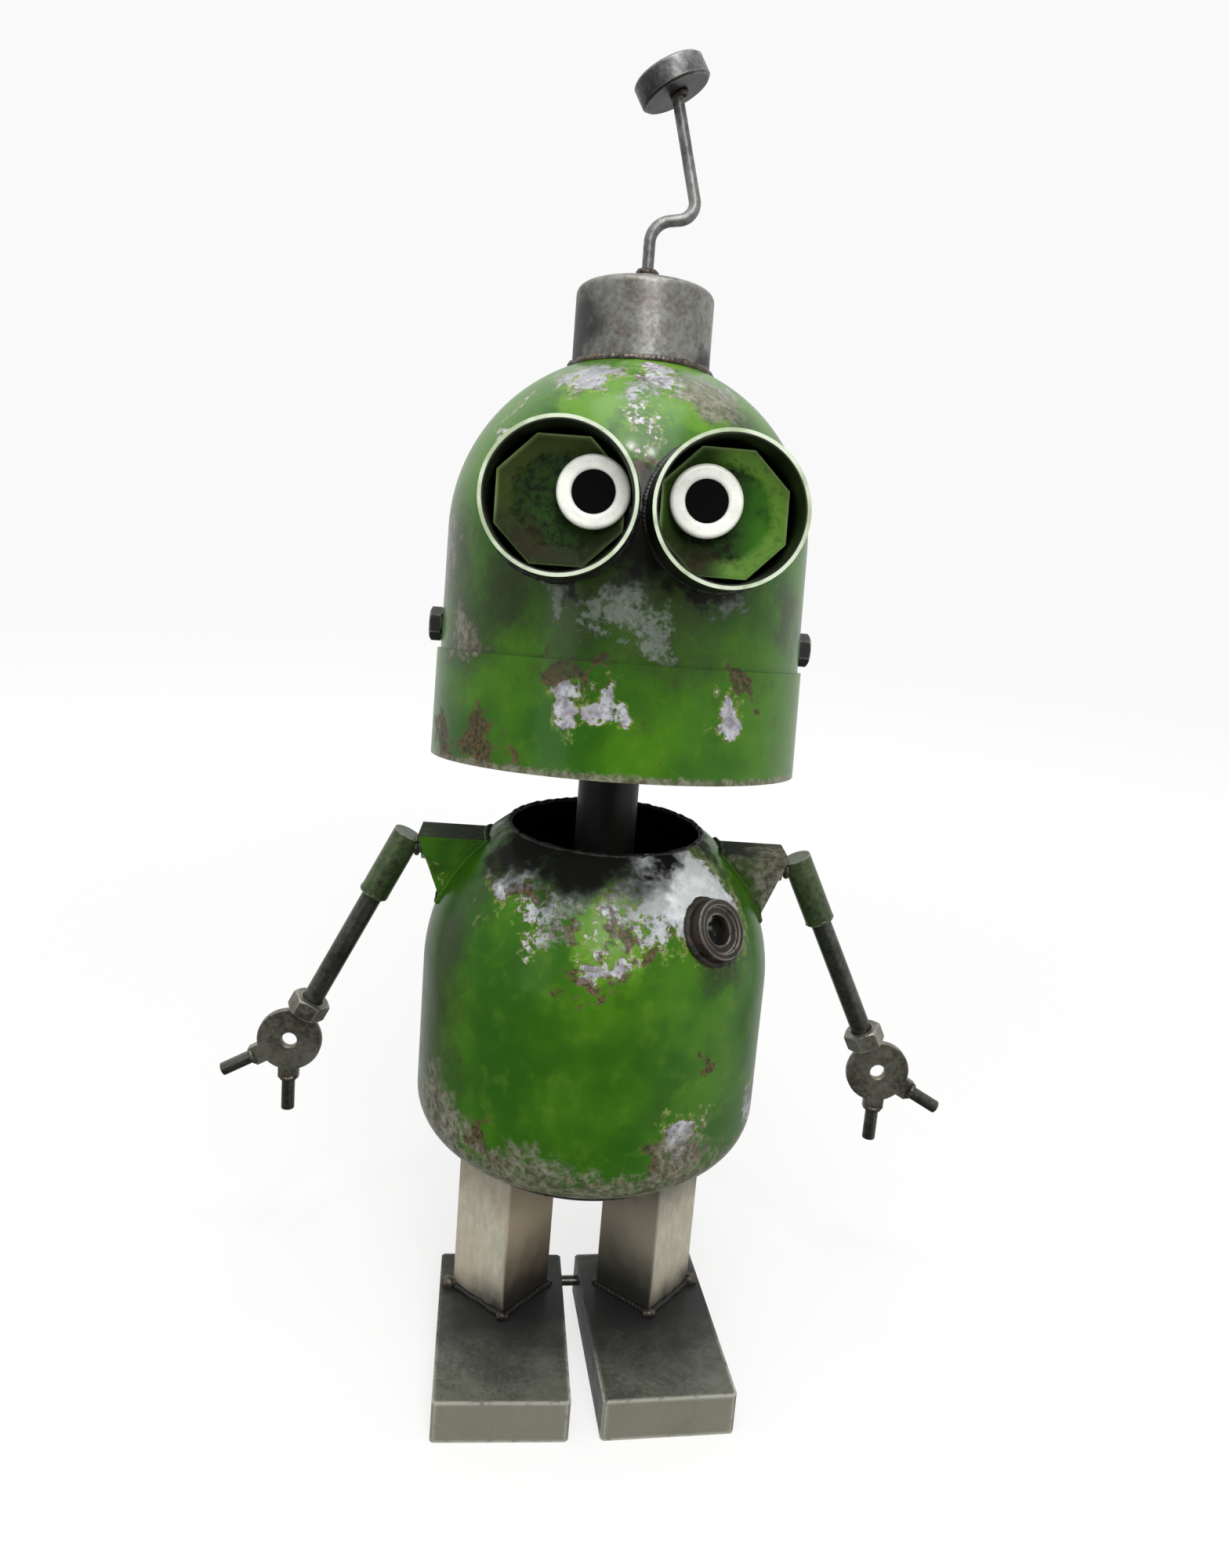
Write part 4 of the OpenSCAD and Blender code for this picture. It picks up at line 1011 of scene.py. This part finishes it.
def eye_joint_path(side):
    """Where an eye tube's outside meets the dome, in the head's frame."""
    turn = Matrix.Rotation(side * EYE_SPLAY, 4, "Z")
    origin = Vector((side * EYE_X, -EYE_REACH, EYE_H))
    made = []
    for angle in turns(72):
        rim = origin + turn @ Vector((EYE_R * math.cos(angle), 0, EYE_R * math.sin(angle)))
        back = turn @ Vector((0, 1, 0))
        low, high = 0.0, 45.0
        if dome_gap(rim + back * high) > 0:
            continue
        for _ in range(30):
            middle = (low + high) / 2
            low, high = (middle, high) if dome_gap(rim + back * middle) > 0 else (low, middle)
        made.append(rim + back * high)
    return made


def arm_point(side, down):
    """A point on an arm's axis, so far below the shoulder pin."""
    return Vector((side * (ARM_X + down * math.sin(ARM_LEAN)), 0, SHOULDER_Z - down * math.cos(ARM_LEAN)))


def arm_way(side, extra=0.0):
    """The way an arm runs, or the way of something turned outwards from it by extra radians."""
    lean = ARM_LEAN + extra
    return Vector((side * math.sin(lean), 0, -math.cos(lean)))


def add_welds():
    cap_joint = DOME_SIDE + math.sqrt(DOME_R ** 2 - CAP_R ** 2)
    weld_bead("cap_weld", on_head(circle_path((0, 0, cap_joint + 0.2), UP, CAP_R + 0.2)), 1.1, "head",
              "weld_steel", seed=1)
    weld_bead("antenna_weld", on_head(circle_path((0, 0, CAP_TOP + 4.5), UP, 1.9)), 1.15, "head",
              "weld_steel", seed=6)
    boss_way = Vector((math.sin(BOSS_TURN) * math.cos(BOSS_RISE), -math.cos(BOSS_TURN) * math.cos(BOSS_RISE),
                       math.sin(BOSS_RISE)))
    boss_seat = Vector((0, 0, CROWN_Z)) + boss_way * (math.sqrt(TORSO_R ** 2 - BOSS_R ** 2) + 0.3)
    weld_bead("boss_weld", circle_path(boss_seat, boss_way, BOSS_R + 0.3), 1.0, "torso", "boss_steel", seed=2)
    weld_bead("mouth_burr", circle_path((0, 0, CROWN_Z + 40.2), UP, MOUTH_R + 0.15, 96), 0.75, "torso",
              "sooty_shaded_steel", seed=3)
    for side, word in SIDES:
        joint = on_head(eye_joint_path(side))
        weld_bead(f"eye_weld_{word}", joint, 0.9, "head", "sooty_shaded_steel", seed=4 + side)
        add_torso_welds(side, word)
        add_arm_welds(side, word)
    disc = HEAD_TO_ROW @ Vector((DISC_X, 0, DISC_HEIGHT))
    lean = (HEAD_TO_ROW.to_3x3() @ Vector((-math.sin(DISC_TILT), 0, math.cos(DISC_TILT)))).normalized()
    weld_bead("disc_weld", circle_path(disc - lean * 3.5 + Vector((0.6, 0, 0)), lean, 1.9), 0.7, "head",
              "weld_steel", seed=41)


def add_torso_welds(side, word):
    """One side's welds at the bracket, the hip and the ankle."""
    half, low, high = 7, 131, 150
    outline = [(-half, z) for z in range(low + 1, high + 1, 2)]
    outline += [(y, high) for y in range(1 - half, half, 2)]
    outline += [(half, z) for z in range(high, low, -2)]
    outline += [(y, low) for y in range(half - 1, -half, -2)]
    ring = [(side * torso_surface(y, z), y, z) for y, z in outline]
    weld_bead(f"bracket_weld_{word}", ring, 0.9, "torso", "bracket_paint", seed=8 + side)

    turn = Matrix.Rotation(STANCE, 4, "Z")
    reach = LEG_SIDE / math.sqrt(2) + 0.15
    corners = [turn @ Vector((side * LEG_X + dx, LEG_Y + dy, FOOT_T + 0.25))
               for dx, dy in ((reach, 0), (0, reach), (-reach, 0), (0, -reach))]
    weld_bead(f"ankle_weld_{word}", corners, 1.15, "torso", "sooty_shaded_steel", seed=12 + side)
    top = [corner + Vector((0, 0, BASE_Z - FOOT_T - 0.5)) for corner in corners]
    weld_bead(f"hip_weld_{word}", top, 0.8, "torso", "sooty_shaded_steel", seed=16 + side)
    middle = turn @ Vector((side * LEG_X, LEG_Y, FOOT_T))
    front, outer = corners[3], corners[0 if side > 0 else 2]
    for tag, corner in (("front", front), ("outer", outer)):
        spot = corner + (corner - middle).normalized() * 0.6
        dabs = [spot + Vector(step) for step in ((-1.3, 0.2, 0.4), (0, -0.3, 0.7), (1.3, 0.2, 0.4))]
        weld_bead(f"ankle_tack_{tag}_{word}", dabs, 1.6, "torso", "weld_steel", seed=20 + side, closed=False)


def add_arm_welds(side, word):
    """One arm's welds at the sleeve, the pin, the wrist and the fingers."""
    arm, hand, way = word + "_arm", word + "_hand", arm_way(side)
    pin = (side * (ARM_X - 4.3), 0, SHOULDER_Z)
    weld_bead(f"sleeve_weld_{word}", circle_path(arm_point(side, 16.2), way, 3.5), 0.75, arm, "sleeve_steel",
              seed=24 + side)
    weld_bead(f"pin_weld_{word}", circle_path(pin, (1, 0, 0), 2.2), 0.7, arm, "weld_steel", seed=28 + side)
    weld_bead(f"wrist_weld_{word}", circle_path(arm_point(side, WRIST_END + 0.2), way, 2.9), 0.9, hand,
              "weld_steel", seed=32 + side)
    for tag, extra in (("inner", -ARM_LEAN), ("outer", FINGER_TURN)):
        finger = arm_way(side, extra)
        ring = circle_path(arm_point(side, ARM_L) + finger * 11.8, finger, 1.9)
        weld_bead(f"finger_weld_{tag}_{word}", ring, 0.85, hand, "weld_steel", seed=36 + side)


def add_fasteners():
    """Nuts, bolts and screws with chamfers, threads and slots, in place of the plain ones."""
    foot = HEAD_TO_ROW @ facing((0, 0, CAP_TOP), UP, (1, 0, 0))
    nut = hex_piece("antenna_nut_cut", foot, M5_CORNER, M5_NUT_H, "hand_steel", "head", bore=ANTENNA_R)
    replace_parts(nut, "antenna_nut")
    bolts = []
    for side, word in SIDES:
        seat = HEAD_TO_ROW @ facing((side * DOME_R, 0, NOD_HEIGHT), (side, 0, 0))
        bolts.append(hex_piece(f"bolt_head_{word}", seat, M5_CORNER, M5_HEAD_H, "sooty_shaded_steel", "head"))
        bolts.append(thread(f"bolt_shank_{word}", seat, M5_R, BOLT_END_X - DOME_R, 0, M5_PITCH, "sooty_shaded_steel",
                            "head"))
        wrist = facing(arm_point(side, WRIST_END), -arm_way(side), (0, 1, 0))
        nut = hex_piece(f"wrist_nut_cut_{word}", wrist @ Matrix.Rotation(math.radians(90), 4, "Z"), WRIST_R,
                        WRIST_H, "hand_steel", word + "_hand", bore=ROD_R + 0.05, blind=0.5)
        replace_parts(nut, "wrist_nut_" + word)
    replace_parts(merge("head_bolts_cut", bolts), "head_bolts")
    lip = [math.radians(45 + 90 * i) for i in range(4)]
    spots = [(LIP_SCREW_R * math.cos(a), LIP_SCREW_R * math.sin(a)) for a in lip]
    spots += [(x * FLANGE_SCREW_X, y * FLANGE_SCREW_Y) for x in (-1, 1) for y in (-1, 1)]
    screws = []
    for i, (x, y) in enumerate(spots):
        slot_angle = 2.4 * i
        turned = (math.cos(slot_angle), math.sin(slot_angle), 0)
        under, above = facing((x, y, BASE_Z), (0, 0, -1), turned), facing((x, y, BASE_Z), UP, turned)
        screws.append(slotted_head(f"screw_head_{i}", under, radius=2.8, height=2.0, slot_w=0.8, slot_d=1.0,
                                   finish="zinc", body="torso"))
        screws.append(thread(f"screw_shank_{i}", above, M3_R, 0, M3_LENGTH, M3_PITCH, "zinc", "torso"))
    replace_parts(merge("base_screws_cut", screws), "base_screws")


def add_antenna():
    """The bent wire, smooth and slightly uneven, in place of the plain swept one."""
    def ahead(angle):
        return Vector((math.sin(angle), 0, math.cos(angle)))

    def beside(angle):
        return Vector((math.cos(angle), 0, -math.sin(angle)))

    point, heading, path = Vector((0, 0, ANTENNA_FOOT)), 0.0, []
    for run, turn, radius in ANTENNA_STEPS:
        pieces = max(1, round(run))
        path += [point + ahead(heading) * run * i / pieces for i in range(pieces)]
        point = point + ahead(heading) * run
        bend, reach = math.radians(turn), math.copysign(radius, turn)
        hub = point + beside(heading) * reach
        steps = round(abs(turn) / 6)
        path += [hub - beside(heading + bend * i / steps) * reach for i in range(steps)]
        heading += bend
        point = hub - beside(heading) * reach
    path.append(point)
    path = [HEAD_TO_ROW @ p * MM for p in path]

    def radius_at(i, angle):
        return ANTENNA_R * MM * (1 + 0.06 * noise.noise(path[i] * 160))

    points, faces = sweep(path, radius_at, 20, closed=False)
    wire = add_piece("antenna_wire_smooth", points, faces, "wire_steel", "head")
    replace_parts(wire, "antenna_wire")


make_camera()
make_stage()
make_finishes()
paint_nodes()
round_corners()
add_welds()
add_antenna()
add_fasteners()
